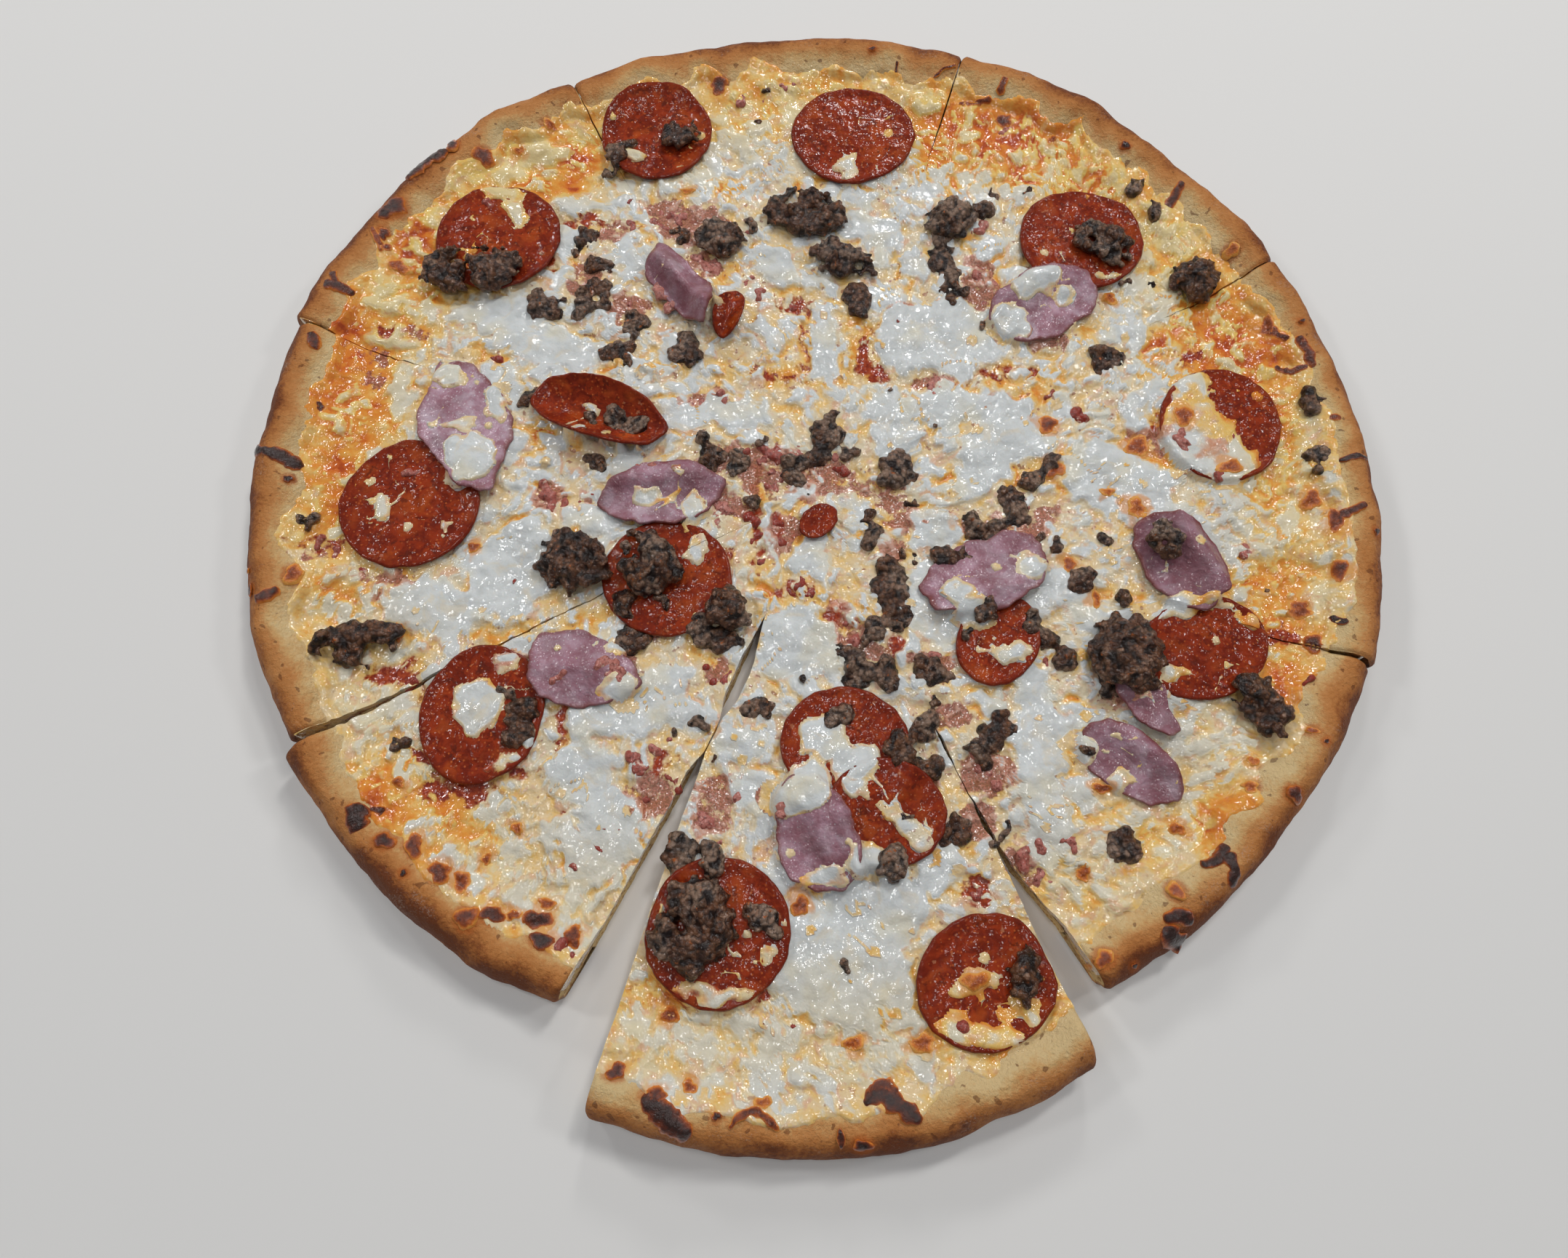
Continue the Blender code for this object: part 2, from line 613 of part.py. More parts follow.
def pepperoni(ground):
    """Thin discs, cupped a little, and two that are folded into a trough."""
    for name, (x, y, size, turn, long, short) in PEPPERONI.items():
        outline = oval(size * long, size * short, turn, PEPPERONI_ROUGH, x + y)
        if name in TRIMMED_AT_EAST_CUT:
            outline = trimmed(outline, (x, y), S_EAST_EDGE, -1)
        if name in TRIMMED_AT_WEST_CUT:
            outline = trimmed(outline, (x, y), S_WEST_EDGE, 1)
        spokes = 18 if size > 20 else 10

        def disc(out, angle):
            return PEPPERONI_THICKNESS * (1 - 0.35 * out ** 4)

        def cup(px, py, out):
            return PEPPERONI_CUP * out ** 3
        draped(name, ground, PEPPERONI_LOOK, (x, y), outline, disc, cup, 2, spokes)
    for name, (x, y, length, width, turn, height) in FOLDED_PEPPERONI.items():
        outline = oval(length, width, turn)

        def sheet(out, angle):
            return PEPPERONI_THICKNESS * (1.3 - 0.3 * out)

        def trough(px, py, out):
            _, aside = across(px, py, length, width, turn)
            return height * MM * abs(aside) ** 1.6
        draped(name, ground, PEPPERONI_LOOK, (x, y), outline, sheet, trough, 3, 16)


def ham(ground):
    """Torn ham slices, each with a raised fold along one side."""
    for name, (x, y, length, width, turn, height, fold, seed) in HAM.items():
        outline = oval(length, width, turn, HAM_ROUGH, seed)

        def sheet(out, angle):
            return HAM_THICKNESS * (1 - 0.3 * out ** 3)

        def ridge(px, py, out):
            along, aside = across(px, py, length, width, turn)
            return height * MM * math.exp(-((aside - fold) / 0.45) ** 2) * (1 - 0.3 * along ** 2)
        draped(name, ground, HAM_LOOK, (x, y), outline, sheet, ridge, 3, 14)


def crumbles(ground):
    """Rough heaps of browned minced meat."""
    for name, (x, y, length, width, turn, height, seed) in CRUMBLES.items():
        outline = oval(length, width, turn, CRUMBLE_ROUGH, seed)
        wave = waves(seed, 4, 2, 5)

        def heap(out, angle):
            lumpy = 1 + 0.15 * wave(out * math.cos(angle) * 2.2, out * math.sin(angle) * 2.2)
            return height * MM * (0.25 + 0.75 * math.sqrt(max(0.0, 1 - out ** 2.2))) * lumpy

        def flat(px, py, out):
            return 0.0
        draped(name, ground, CRUMBLE_LOOK, (x, y), outline, heap, flat, 3, 10)


def main():
    clear_scene()
    ground = HeightMap()
    for piece in slices():
        crust = crust_solid(piece)
        cheese = cheese_solid(piece)
        fuse_crumbles(piece, cheese, CHEESE_CRUMBLES, SUNK_IN_CHEESE)
        fuse_crumbles(piece, crust, RIM_CRUMBLES, SUNK_IN_RIM)
        ground.add(*solid_triangles(crust))
        ground.add(*solid_triangles(cheese))
    pepperoni(ground)
    ham(ground)
    crumbles(ground)
    pizza = bpy.data.objects.new("pizza", None)
    pizza.location = CUTS_CROSS_AT
    bpy.context.scene.collection.objects.link(pizza)
    for obj in bpy.context.scene.objects:
        if obj.type == "MESH":
            obj.parent = pizza


main()
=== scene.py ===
import math
import random

import bmesh
import bpy
import numpy as np
from mathutils import Matrix, Vector


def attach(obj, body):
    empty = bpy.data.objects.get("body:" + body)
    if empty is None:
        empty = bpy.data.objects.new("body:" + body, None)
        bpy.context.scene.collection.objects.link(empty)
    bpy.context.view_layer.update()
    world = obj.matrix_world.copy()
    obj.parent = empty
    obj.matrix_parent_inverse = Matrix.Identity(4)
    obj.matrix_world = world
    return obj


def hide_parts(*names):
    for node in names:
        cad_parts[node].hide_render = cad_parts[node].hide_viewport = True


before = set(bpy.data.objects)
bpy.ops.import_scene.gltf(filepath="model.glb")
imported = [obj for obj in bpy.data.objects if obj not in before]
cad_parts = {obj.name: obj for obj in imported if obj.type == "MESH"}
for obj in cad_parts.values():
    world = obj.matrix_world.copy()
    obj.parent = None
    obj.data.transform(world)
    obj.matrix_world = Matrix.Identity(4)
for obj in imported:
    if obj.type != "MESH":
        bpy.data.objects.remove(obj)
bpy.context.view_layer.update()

# Looks of the meat pizza. Places are in millimetres from the point where the cuts cross, angles
# in degrees anticlockwise from +X, and heights in millimetres above the floor. A mesh is turned
# into metres, and moved to where the solids have the crossing, only when it is made.

MM = 0.001
CUTS_CROSS_AT = (-1.1, 5.1)

# Heights through a slice, as in the solids
DOUGH_TOP = 5.5
RIM_TOP = 15.0
RIM_WIDTH = 17.5
RIM_SWELL = 0.06
CUT_HALF_GAP = 0.25
TIP_RADIUS = 0.4
RIM_SECTION = [
    (0.93, 0.72), (0.74, 0.88), (0.50, 1.00), (0.27, 0.97), (0.09, 0.78), (0.00, 0.52),
    (0.07, 0.31), (0.04, 0.15), (0.14, 0.00),
]

# Closed cuts, then the edges of the open ones as (distance, angle) pairs, as in the solids
CUT_A, CUT_B, CUT_C, CUT_D, CUT_G, CUT_H = 119.3, 72.9, 29.4, -17.2, -151.1, 161.4
SE_WEST_EDGE = [(0, -61.6), (97, -62.3), (118, -62.0), (136, -60.4), (155, -59.9)]
S_EAST_EDGE = [(0, -62.0), (97, -63.1), (118, -62.8), (138, -63.3), (169, -63.8)]
S_WEST_EDGE = [(0, -105.6), (56, -105.8), (87, -109.0), (130, -108.2), (174, -107.4)]
SW_EAST_EDGE = [(0, -106.6), (52, -109.2), (87, -110.7), (115, -112.0), (154, -113.4)]
SW_WEST_EDGE = [(0, -150.9), (110, -150.7), (161, -150.2)]

# Where melted cheese still closes an open cut: (distance, share closed) pairs
WEST_JOIN = [(0, 1), (38, 1), (52, 0), (64, 0), (70, 0.85), (80, 0.9), (87, 0)]
EAST_JOIN = [(0, 1), (74, 1), (82, 0.3), (88, 0.9), (98, 0.8), (104, 0.1), (110, 0.6), (116, 0)]

# Outer radius of each rim as (angle, radius) pairs, as in the solids
RIM_N = [(70, 165.5), (86, 165.2), (104, 165.0), (122, 165.6)]
RIM_NE = [(27, 164.5), (38, 165.2), (50, 165.5), (60, 167.0), (74, 165.6)]
RIM_E = [(-19, 163.5), (0, 164.0), (15, 164.3), (31, 164.5)]
RIM_SE = [(-62, 155.5), (-44, 157.0), (-33, 158.5), (-24, 161.0), (-16, 163.0)]
RIM_S = [(-109, 175.0), (-85, 175.0), (-78, 174.0), (-72, 172.0), (-62, 169.0)]
RIM_SW = [(-152, 160.8), (-136, 158.5), (-123, 156.6), (-112, 154.0)]
RIM_W = [(160, 165.0), (174, 162.8), (182, 162.0), (195, 161.2), (210, 158.5)]
RIM_NW = [(118, 165.8), (128, 168.2), (134, 168.6), (146, 168.2), (163, 167.2)]

# How finely the meshes are made. Each band of cheese has its start, its end, which is the rim in
# the last one, and how many steps it has across.
CHEESE_STEP = 0.78
CHEESE_BANDS = ((0.0, 38.0, 36), (38.0, 76.0, 72), (76.0, None, 144))
CRUST_STEP = 1.25

# Height maps: their step and reach, and how many points are left round a piece
MAP_STEP = 0.5
MAP_X = (-172.0, 172.0)
MAP_Y = (-184.0, 176.0)
MAP_ROOM = 20

# Melted white cheese: centre, length, width and turn of each pool
WHITE_POOLS = [
    (-12, 77, 20, 14, -40), (0, 70, 12, 8, 0), (-26, 69, 16, 4, 60), (-17, 66, 5, 9, 0),
    (19, 90, 22, 13, -30), (38, 58, 46, 14, 0), (31, 76, 10, 12, 0), (5, 106, 14, 7, 10),
    (15, 101, 12, 9, -20), (-57, 106, 11, 15, 0), (1, 87, 9, 4, 0), (24, 68, 10, 10, 0),
    (54, 84, 9, 10, 0), (67, 69, 18, 13, 0), (60, 56, 24, 12, 0), (79, 66, 10, 9, 0),
    (95, 55, 18, 9, 10), (50, 112, 8, 6, 0), (74, 79, 8, 5, 0), (-27, 25, 38, 11, 3),
    (4, 49, 10, 24, 0), (38, 48, 44, 18, 0), (36, 28, 50, 13, 5), (25, 17, 18, 11, 0),
    (52, 15, 17, 24, 0), (45, 3, 12, 10, 0), (17, -9, 22, 4.5, -60), (36, -11, 15, 11, -30),
    (34, -33, 13, 27, 5), (-2, -45, 22, 26, 0), (0, -20, 12, 11, 0), (-2, 0, 9, 4, 0),
    (-11, -20, 4, 14, 0), (-33, -6, 12, 9, 0), (-33, -15, 7, 12, 0), (-36, -54, 18, 9, 10),
    (-37, -46, 6, 5, 0), (-12, 52, 10, 12, 0), (-52, 9, 10, 8, 0), (-12, -8, 5, 16, 20),
    (-78, 46, 38, 13, -8), (-97, 56, 34, 9, -8), (-93, 30, 12, 21, 15), (-123, 30, 9, 20, 0),
    (-83, -25, 30, 26, 30), (-97, -36, 38, 17, 8), (-62, -9, 16, 11, 0), (-77, 3, 8, 5, 0),
    (-118, -22, 14, 6, 0), (-115, -35, 9, 12, 0), (-128, 49, 14, 7, 0), (-78, -47, 12, 7, 0),
    (-74, 14, 12, 8, 0), (-87, 12, 8, 10, 0), (-105, 108, 26, 9, 25), (-88, 117, 14, 11, 0),
    (-120, 92, 9, 13, 60), (-115, 103, 11, 7, 30), (-76, 97, 16, 9, -20), (-76, 85, 5, 17, 10),
    (-57, 77, 9, 24, 0), (-97, 60, 24, 9, -5), (60, 22, 24, 24, 0), (88, 6, 35, 22, -10),
    (104, -2, 12, 10, 0), (70, -29, 24, 13, 0), (88, -35, 36, 8, 6), (77, -46, 5, 14, 0),
    (62, -53, 14, 10, 0), (57, -47, 8, 8, 0), (102, -57, 9, 8, 0), (63, -22, 13, 7, -10),
    (93, -12, 6, 5, 0), (98, 30, 12, 18, 0), (-50, -67, 42, 16, 5), (-60, -83, 20, 20, 0),
    (-52, -99, 19, 26, -15), (-88, -66, 12, 16, 0), (-38, -61, 18, 9, 10), (-48, -60, 18, 12, 0),
    (-17, -73, 17, 11, 10), (-10, -88, 15, 17, 0), (6, -78, 11, 22, 0), (15, -75, 9, 12, 0),
    (27, -91, 34, 7, -40), (34, -101, 15, 17, 0), (8, -127, 36, 34, 0), (25, -115, 20, 18, 0),
    (-7, -109, 12, 11, 0), (12, -112, 14, 12, 0), (24, -135, 14, 16, 0), (64, -72, 17, 26, 10),
    (64, -90, 13, 22, 10), (74, -63, 14, 10, 0), (79, -83, 20, 8, 15), (51, -60, 10, 8, 0),
    (38, -76, 7, 10, 0), (62, -58, 10, 12, 0),
]

# Places where white cheese lies only in flecks
FLECKED = [
    (-20, 118, 26, 34, 0), (45, 108, 30, 22, 0), (-60, 92, 30, 12, 0), (-128, 60, 26, 14, 10),
    (110, 86, 20, 20, 0), (100, 72, 26, 18, 0), (112, 62, 26, 14, 0), (118, 22, 22, 26, 0),
    (120, -12, 18, 34, 10), (104, 42, 24, 20, 0), (-124, -10, 16, 26, 0), (-128, -33, 20, 18, 0),
    (-62, -108, 34, 34, -20), (-86, -98, 34, 26, -30), (-112, -74, 24, 26, 0),
    (-60, -124, 22, 14, -20), (98, -69, 22, 24, 0), (114, -78, 22, 22, 0), (90, -98, 26, 20, 0),
    (74, -108, 18, 26, 0), (0, -146, 70, 22, 0), (-10, -158, 60, 12, 0), (-30, -146, 30, 18, 0),
    (30, -148, 30, 14, 0), (124, -34, 24, 14, 0), (-30, 108, 30, 16, 0), (80, 118, 40, 24, -35),
    (-100, 120, 50, 16, 35), (-70, 34, 30, 10, -20), (130, 5, 30, 34, 0), (-45, 38, 34, 12, 5),
    (24, 112, 26, 16, 0),
]

# Oily orange cheese
OILY = [
    (-139, 28, 15, 60, 0), (-137, 0, 12, 36, 5), (-131, -36, 16, 12, 0), (126, 48, 34, 30, -20),
    (133, 20, 14, 50, 0), (128, -28, 22, 26, 0), (133, -52, 20, 20, 0), (45, 122, 34, 34, 0),
    (66, 122, 40, 32, -30), (75, 107, 8, 14, 0), (105, 50, 16, 12, 0), (-75, 114, 14, 14, 0),
    (-93, -93, 26, 10, -40), (-104, -103, 22, 9, -45), (-124, 82, 12, 34, 20), (112, -92, 22, 20, 0),
    (14, 51, 6, 26, -14), (-2, 50, 4, 20, 8), (-80, 105, 20, 8, 10), (85, 105, 24, 16, -30),
    (-110, -90, 20, 24, 0), (-78, 18, 14, 8, 0), (68, 38, 24, 10, 0), (-28, 105, 16, 6, 0),
    (120, 60, 24, 20, 0), (60, -128, 12, 10, 0), (-32, -137, 20, 8, 0), (40, -140, 30, 12, 0),
    (-105, 72, 7, 18, 10), (-136, -4, 10, 14, 0), (18, -12, 4, 18, -60), (-8, 38, 34, 6, 5),
    (20, 22, 16, 5, 20), (-2, -14, 8, 22, 8), (10, -33, 18, 8, 0), (-40, 42, 34, 6, 0),
    (-8, -30, 8, 12, 0), (62, 8, 12, 5, 0), (-62, -40, 16, 6, 20), (-130, 22, 8, 30, 0),
    (112, 24, 26, 28, 0), (46, -141, 22, 14, 0),
]

# Bare sauce, deep red and wet
SAUCE = [
    (-92, -84, 30, 9, -28), (-112, -57, 15, 8, -10), (-38, -79, 10, 5, 30), (-84, -80, 22, 8, 0),
    (-100, -72, 7, 22, 10), (17, 47, 3.5, 24, -14), (-2, 47, 2.5, 20, 8), (-19, -137, 36, 6, 0),
    (46, -110, 9, 9, 0), (-58, 108, 5, 18, 10), (18, 41, 6, 10, 30), (-60, -90, 5, 4, 0),
    (-128, 52, 8, 6, 0), (25, -45, 6, 10, 0), (60, 41, 20, 5, 0), (-66, -66, 5, 22, 0),
    (132, -40, 12, 6, 0), (-82, 76, 6, 8, 0), (112, 49, 10, 6, 0), (-5, 63, 14, 6, 0),
    (-98, -88, 12, 8, -40), (-72, 92, 16, 5, 0), (-45, 5, 16, 4, 10), (-33, -31, 8, 8, 0),
    (-14, -13, 2.5, 22, 6), (-3, -29, 12, 5, 20), (-24, -22, 6, 12, -25), (-16, 38, 8, 5, -30),
    (8, -37, 9, 5, 0), (-9, -10, 3, 10, 0), (46, 38, 12, 3.5, 25), (-5, 36, 10, 3, 0),
    (-134, -18, 18, 4, 0), (100, 27, 4, 8, 0),
]

# Pink shreds of meat that show through thin cheese
MEATY = [
    (-40, 90, 18, 12, 0), (-17, 12, 28, 8, 0), (52, 73, 10, 20, 0), (-47, 97, 12, 8, 0),
    (37, 36, 12, 7, 0), (-31, 30, 14, 6, 0), (-122, 50, 14, 8, 0), (-24, -92, 10, 12, 0),
    (-40, -88, 14, 14, 0), (-34, 77, 13, 12, 0), (-75, -2, 7, 11, -20), (-64, -3, 6, 5, 0),
    (-126, -26, 7, 7, 0), (-56, 60, 12, 12, 0), (48, -80, 16, 14, 0), (10, -38, 10, 9, 0),
    (60, -12, 12, 6, 0), (70, 53, 14, 12, 0), (-26, -52, 8, 9, 0), (-50, -52, 12, 7, 0),
    (58, -104, 14, 8, -30), (-138, -21, 16, 6, 0), (-120, -33, 20, 6, 0), (-132, 40, 10, 20, 0),
    (-14, 10, 34, 9, -3), (23, -1, 12, 8, 0), (33, -9, 10, 6, 0), (13, -41, 12, 8, 0),
    (52, -9, 18, 6, 0), (20, -48, 12, 6, 0), (35, -50, 14, 7, 0), (-110, 0, 10, 6, 0),
    (4, 9, 14, 9, 0), (-30, 8, 12, 8, 0), (-22, -2, 14, 7, -20), (24, -18, 9, 14, 0),
    (66, -6, 12, 10, 0), (44, 60, 10, 8, 0), (28, 62, 12, 7, 0), (-70, 70, 10, 14, 0),
    (-62, 88, 14, 8, 0), (100, 20, 14, 10, 0), (116, 14, 12, 12, 0), (40, -64, 14, 9, 0),
    (88, -58, 12, 8, 0), (-84, -52, 16, 8, 0), (-118, -30, 16, 9, 0), (0, 4, 44, 10, -5),
    (-8, -12, 10, 16, 0), (27, -5, 9, 14, 0), (-40, -38, 18, 12, 0), (-20, -86, 18, 12, 0),
    (30, -84, 10, 10, 0), (46, -92, 12, 12, 0), (-36, 92, 20, 10, 0), (56, 30, 14, 6, 10),
]

# Cheese that has run over what lies on the pizza: centre, length, width, turn
OVER_TOPPINGS = [
    (10, 112, 6, 11, 10), (-103, 43, 15, 9, 20), (-107, 34, 11, 8, 0), (-104, 19, 14, 4.5, 0),
    (-98, 8, 18, 17, 0), (-92, 27, 8, 14, 0), (-122, -8, 7, 8, 0), (-103, -14, 3.5, 4, 0),
    (-113, -14, 3, 3.5, 0), (-88, -65, 13, 16, 0), (-34, -9, 7, 12, 0), (-31, -19, 6, 7, 0),
    (112, 20, 24, 30, 0), (122, 12, 16, 18, 0), (113, 36, 10, 12, 0), (98, -33, 18, 7, 0),
    (122, -36, 8, 5, -30), (5, -72, 16, 14, 0), (14, -77, 14, 14, 0), (2, -84, 14, 12, 0),
    (18, -104, 16, 10, 0), (28, -95, 22, 5, -42), (14, -84, 8, 6, -30), (55, -47, 12, 7, 0),
    (45, -36, 12, 8, 0), (44, -133, 12, 7, 10), (45, -144, 28, 8, -5), (52, -138, 7, 3, 40),
    (59, -146, 6, 5, 0), (57, -139, 5, 8, 20), (-8, -127, 5, 3, 20), (-26, -128, 4, 5, 0),
    (-20, -137, 24, 5, 0), (-93, 93, 8, 12, 30), (-99, 101, 18, 6, 0), (92, 74, 12, 4, 0),
    (67, 70, 18, 12, 0), (60, 57, 14, 14, 0), (77, 66, 8, 8, 0), (-32, -5, 12, 10, 0),
    (-46, -2, 7, 6, 0), (-38, 4, 4, 3, 0), (62, -22, 13, 8, -10), (42, -30, 8, 12, 0),
    (74, -72, 10, 10, 0), (82, -83, 16, 6, 20), (-4, -88, 16, 13, 0), (6, -108, 12, 6, 0),
    (-52, -48, 9, 6, 0), (-50, -60, 12, 8, 0), (-64, 24, 7, 5, 0), (-27, 74, 16, 4, 62),
    (48, 22, 6, 6, 0), (-73, -73, 8, 8, 0), (-82, -52, 9, 6, 0), (-78, -80, 10, 5, 0),
    (112, -32, 12, 4, 0), (22, 133, 4, 2, 0), (-58, 113, 8, 6, 0), (100, -52, 10, 5, 0),
]

# How much greyer than the rest some crumbles are: the grey is fat, partly also a painted sheen
FAT_AND_SHEEN = {
    "crumble_02": 0.15, "crumble_04": 0.15, "crumble_05": 0.2, "crumble_07": 0.1, "crumble_09": 0.1,
    "crumble_01": -0.2, "crumble_03": -0.4, "crumble_08": -0.2, "crumble_12": -0.3, "crumble_13": -0.3,
    "crumble_11": -0.3, "crumble_17": -0.4, "crumble_06": -0.2,
}

# Small crumbles sunk in the cheese: centre and size
SMALL_CRUMBLES = [
    (-80, 58, 10), (-72, 84, 12), (-67, 64, 13), (-66, 75, 8), (-58, 44, 10), (-54, 54, 10),
    (-38, 45, 11), (-37, 50, 8), (43, 70, 13), (39, 80, 10), (41, 86, 9), (14, 64, 9), (88, 46, 11),
    (54, 99, 8), (-64, 113, 8), (-60, 118, 6), (-66, 108, 5), (69, 10, 7), (64, 6, 8), (77, -25, 9),
    (84, -98, 11), (33, -68, 9), (27, -74, 11), (33, -78, 9), (50, -70, 9), (54, -66, 7), (48, -76, 6),
    (40, -95, 10), (23, -104, 9), (28, -92, 5), (-31, -103, 13), (-24, -104, 9), (-62, 9, 8),
    (-109, -75, 6), (12, -129, 5), (100, 107, 8), (106, 98, 7), (147, 32, 9), (147, 13, 9),
    (-57, 22, 10), (-50, 20, 8), (-64, 21, 6), (-83, 30, 7), (-10, -118, 10), (-6, -120, 6),
    (66, -41, 9), (71, -47, 8), (62, -37, 7), (76, -72, 5), (53, -94, 6), (50, -98, 5), (57, 105, 5),
    (67, 105, 3.5), (96, 72, 5), (105, 72, 5), (-17, 143, 5), (-19, 130, 4), (53, 57, 4),
    (-48, -46, 10), (-50, -35, 9), (70, -14, 6), (84, -12, 5), (88, -30, 6), (-76, -66, 9),
    (-76, -72, 8), (-34, -71, 4), (-28, -68, 6), (-24, -77, 4), (-80, -60, 6), (13, 66, 7),
    (16, 60, 5), (-84, 62, 7), (-78, 63, 6), (-70, 57, 6), (37, 22, 3), (24, 34, 3.5), (33, -66, 6),
    (36, -60, 5), (129, -25, 4), (45, -72, 7), (71, 12, 5), (-42, 88, 7), (-20, 90, 6), (90, -54, 9),
    (83, -54, 8), (86, -37, 6), (4, 19, 11), (6, 24, 7), (26, 9, 13), (24, 6, 8), (-29, 11, 9),
    (-20, 11, 8), (-21, 7, 6), (-4, 8, 9), (3, 13, 8), (-16, -2, 6), (17, -7, 6), (18, -13, 7),
    (23, -24, 10), (24, -31, 11), (25, -37, 9), (20, -28, 7), (19, -41, 8), (13, -50, 10),
    (14, -55, 7), (21, -54, 10), (38, -19, 8), (47, -9, 8), (53, -10, 9), (60, -6, 9), (34, -51, 9),
    (38, -53, 7), (-12, -64, 8), (-29, -42, 10), (-25, -45, 8), (-18, -44, 6), (-1, -56, 4),
    (49, -35, 8), (-143, -13, 6), (58, -1, 8), (9, -66, 9), (12, 14, 6), (-14, 16, 5), (-31, 17, 6),
    (30, -2, 5), (44, -18, 6), (29, -19, 6), (10, -46, 5), (64, -12, 6), (44, -42, 5), (-40, -34, 7),
]

CRUMBLE_GROWTH = 1.18

# Where a crumble is parted, so that two lumps lie side by side: centre, length, width, turn
CRUMBLE_PARTINGS = [(-105.5, 72, 4.5, 24, 12), (-90, 82, 4, 6, 0), (-122, 64, 8, 5, 30)]

# Where the cheese runs further up the rim
CLIMBS = [
    (-10, -161, 84, 14, 0), (24, -158, 34, 10, 12), (149, -2, 10, 70, 0), (-92, -106, 60, 9, -42),
    (-62, -124, 24, 7, -24), (144, 45, 8, 26, 15), (-135, 85, 8, 30, -25),
]

# How much darker than the others some slices of ham are
HAM_DEPTH = {
    "ham_01": -0.25, "ham_02": 0.3, "ham_04": 0.1, "ham_06": 0.6, "ham_07": 0.25, "ham_08": 0.35,
    "ham_09": 0.2,
}

# Bits of ham and pepperoni: centre, size, and how red they are
BITS = [
    (37, 36, 9, 0.1), (42, 35, 5, 0.8), (-33, 29, 9, 0.2), (-27, 31, 6, 0.5), (-25, -55, 9, 0.9),
    (-22, -53, 5, 0.7), (-52, -55, 9, 0.3), (-75, -1, 8, 0.5), (-73, -5, 7, 0.6), (-64, -3, 5, 0.8),
    (-126, -26, 6, 0.8), (-83, -29, 4, 1.0), (-95, 44, 6, 0.9), (-128, 51, 5, 1.0), (-34, 78, 9, 0.1),
    (-31, 74, 8, 0.1), (-46, 65, 8, 0.1), (-43, 61, 6, 0.1), (-47, 96, 8, 0.6), (-42, 94, 7, 0.4),
    (-21, 88, 5, 0.6), (52, 74, 10, 0.4), (51, 66, 7, 0.3), (-96, 98, 5, 0.7), (-103, 96, 5, 0.7),
    (-108, -57, 7, 0.9), (-47, 5, 6, 0.3), (-16, 66, 6, 0.5), (-20, 72, 5, 0.4), (27, 57, 4, 0.6),
    (66, -49, 5, 0.6), (-44, -80, 8, 0.6), (-38, -75, 7, 0.5), (-35, -84, 7, 0.8), (-42, -88, 6, 0.7),
    (-53, -102, 4, 0.9), (-58, -106, 4, 0.7), (-49, -96, 3, 0.8), (-52, -97, 3, 0.9),
    (-59, -128, 7, 0.8), (-5, -90, 6, 0.2), (-16, -88, 7, 0.2), (-26, -94, 7, 0.4),
    (-22, -100, 5, 0.3), (50, -81, 9, 0.3), (46, -76, 6, 0.4), (60, -100, 9, 0.5), (63, -106, 8, 0.3),
    (70, -97, 6, 0.5), (46, -111, 6, 0.8), (41, -143, 6, 0.8), (108, 18, 7, 0.4), (125, -15, 6, 0.4),
    (112, -54, 5, 0.9), (136, -53, 4, 1.0), (-1, -144, 3, 1.0), (-9, -144, 2.5, 1.0),
    (-56, 60, 6, 0.3), (72, 33, 6, 0.8), (80, 27, 7, 1.0), (60, -8, 6, 0.4), (62, -1, 5, 0.3),
    (92, -54, 6, 0.3), (-59, 98, 5, 0.8), (-49, 91, 6, 0.5), (-57, 91, 5, 0.6), (-140, -18, 6, 0.6),
    (-134, -22, 6, 0.7), (124, 21, 5, 0.7), (118, 8, 5, 0.6), (-6, 63, 5, 0.8), (52, 92, 6, 0.3),
    (-66, -57, 6, 0.4), (-17, 139, 5, 0.4), (-24, 139, 6, 0.5), (-10, 145, 6, 0.5), (61, 130, 6, 0.2),
    (39, 96, 6, 0.7), (-13, 11, 12, 0.6), (-9, 12, 9, 0.7), (-3, 13, 9, 0.4), (10, 10, 10, 0.2),
    (9, 8, 5, 0.9), (-10, 3, 7, 0.5), (-16, -8, 6, 0.95), (-14, -14, 6, 0.95), (-13, -20, 6, 0.95),
    (0, -29, 8, 0.95), (-4, -31, 6, 0.9), (-8, -9, 7, 0.9), (-7, -14, 6, 0.8), (13, -40, 10, 0.6),
    (-25, -5, 7, 0.1), (-27, -9, 7, 0.1), (-114, 3, 6, 0.5), (5, 4, 5, 0.4), (36, -49, 7, 0.4),
]

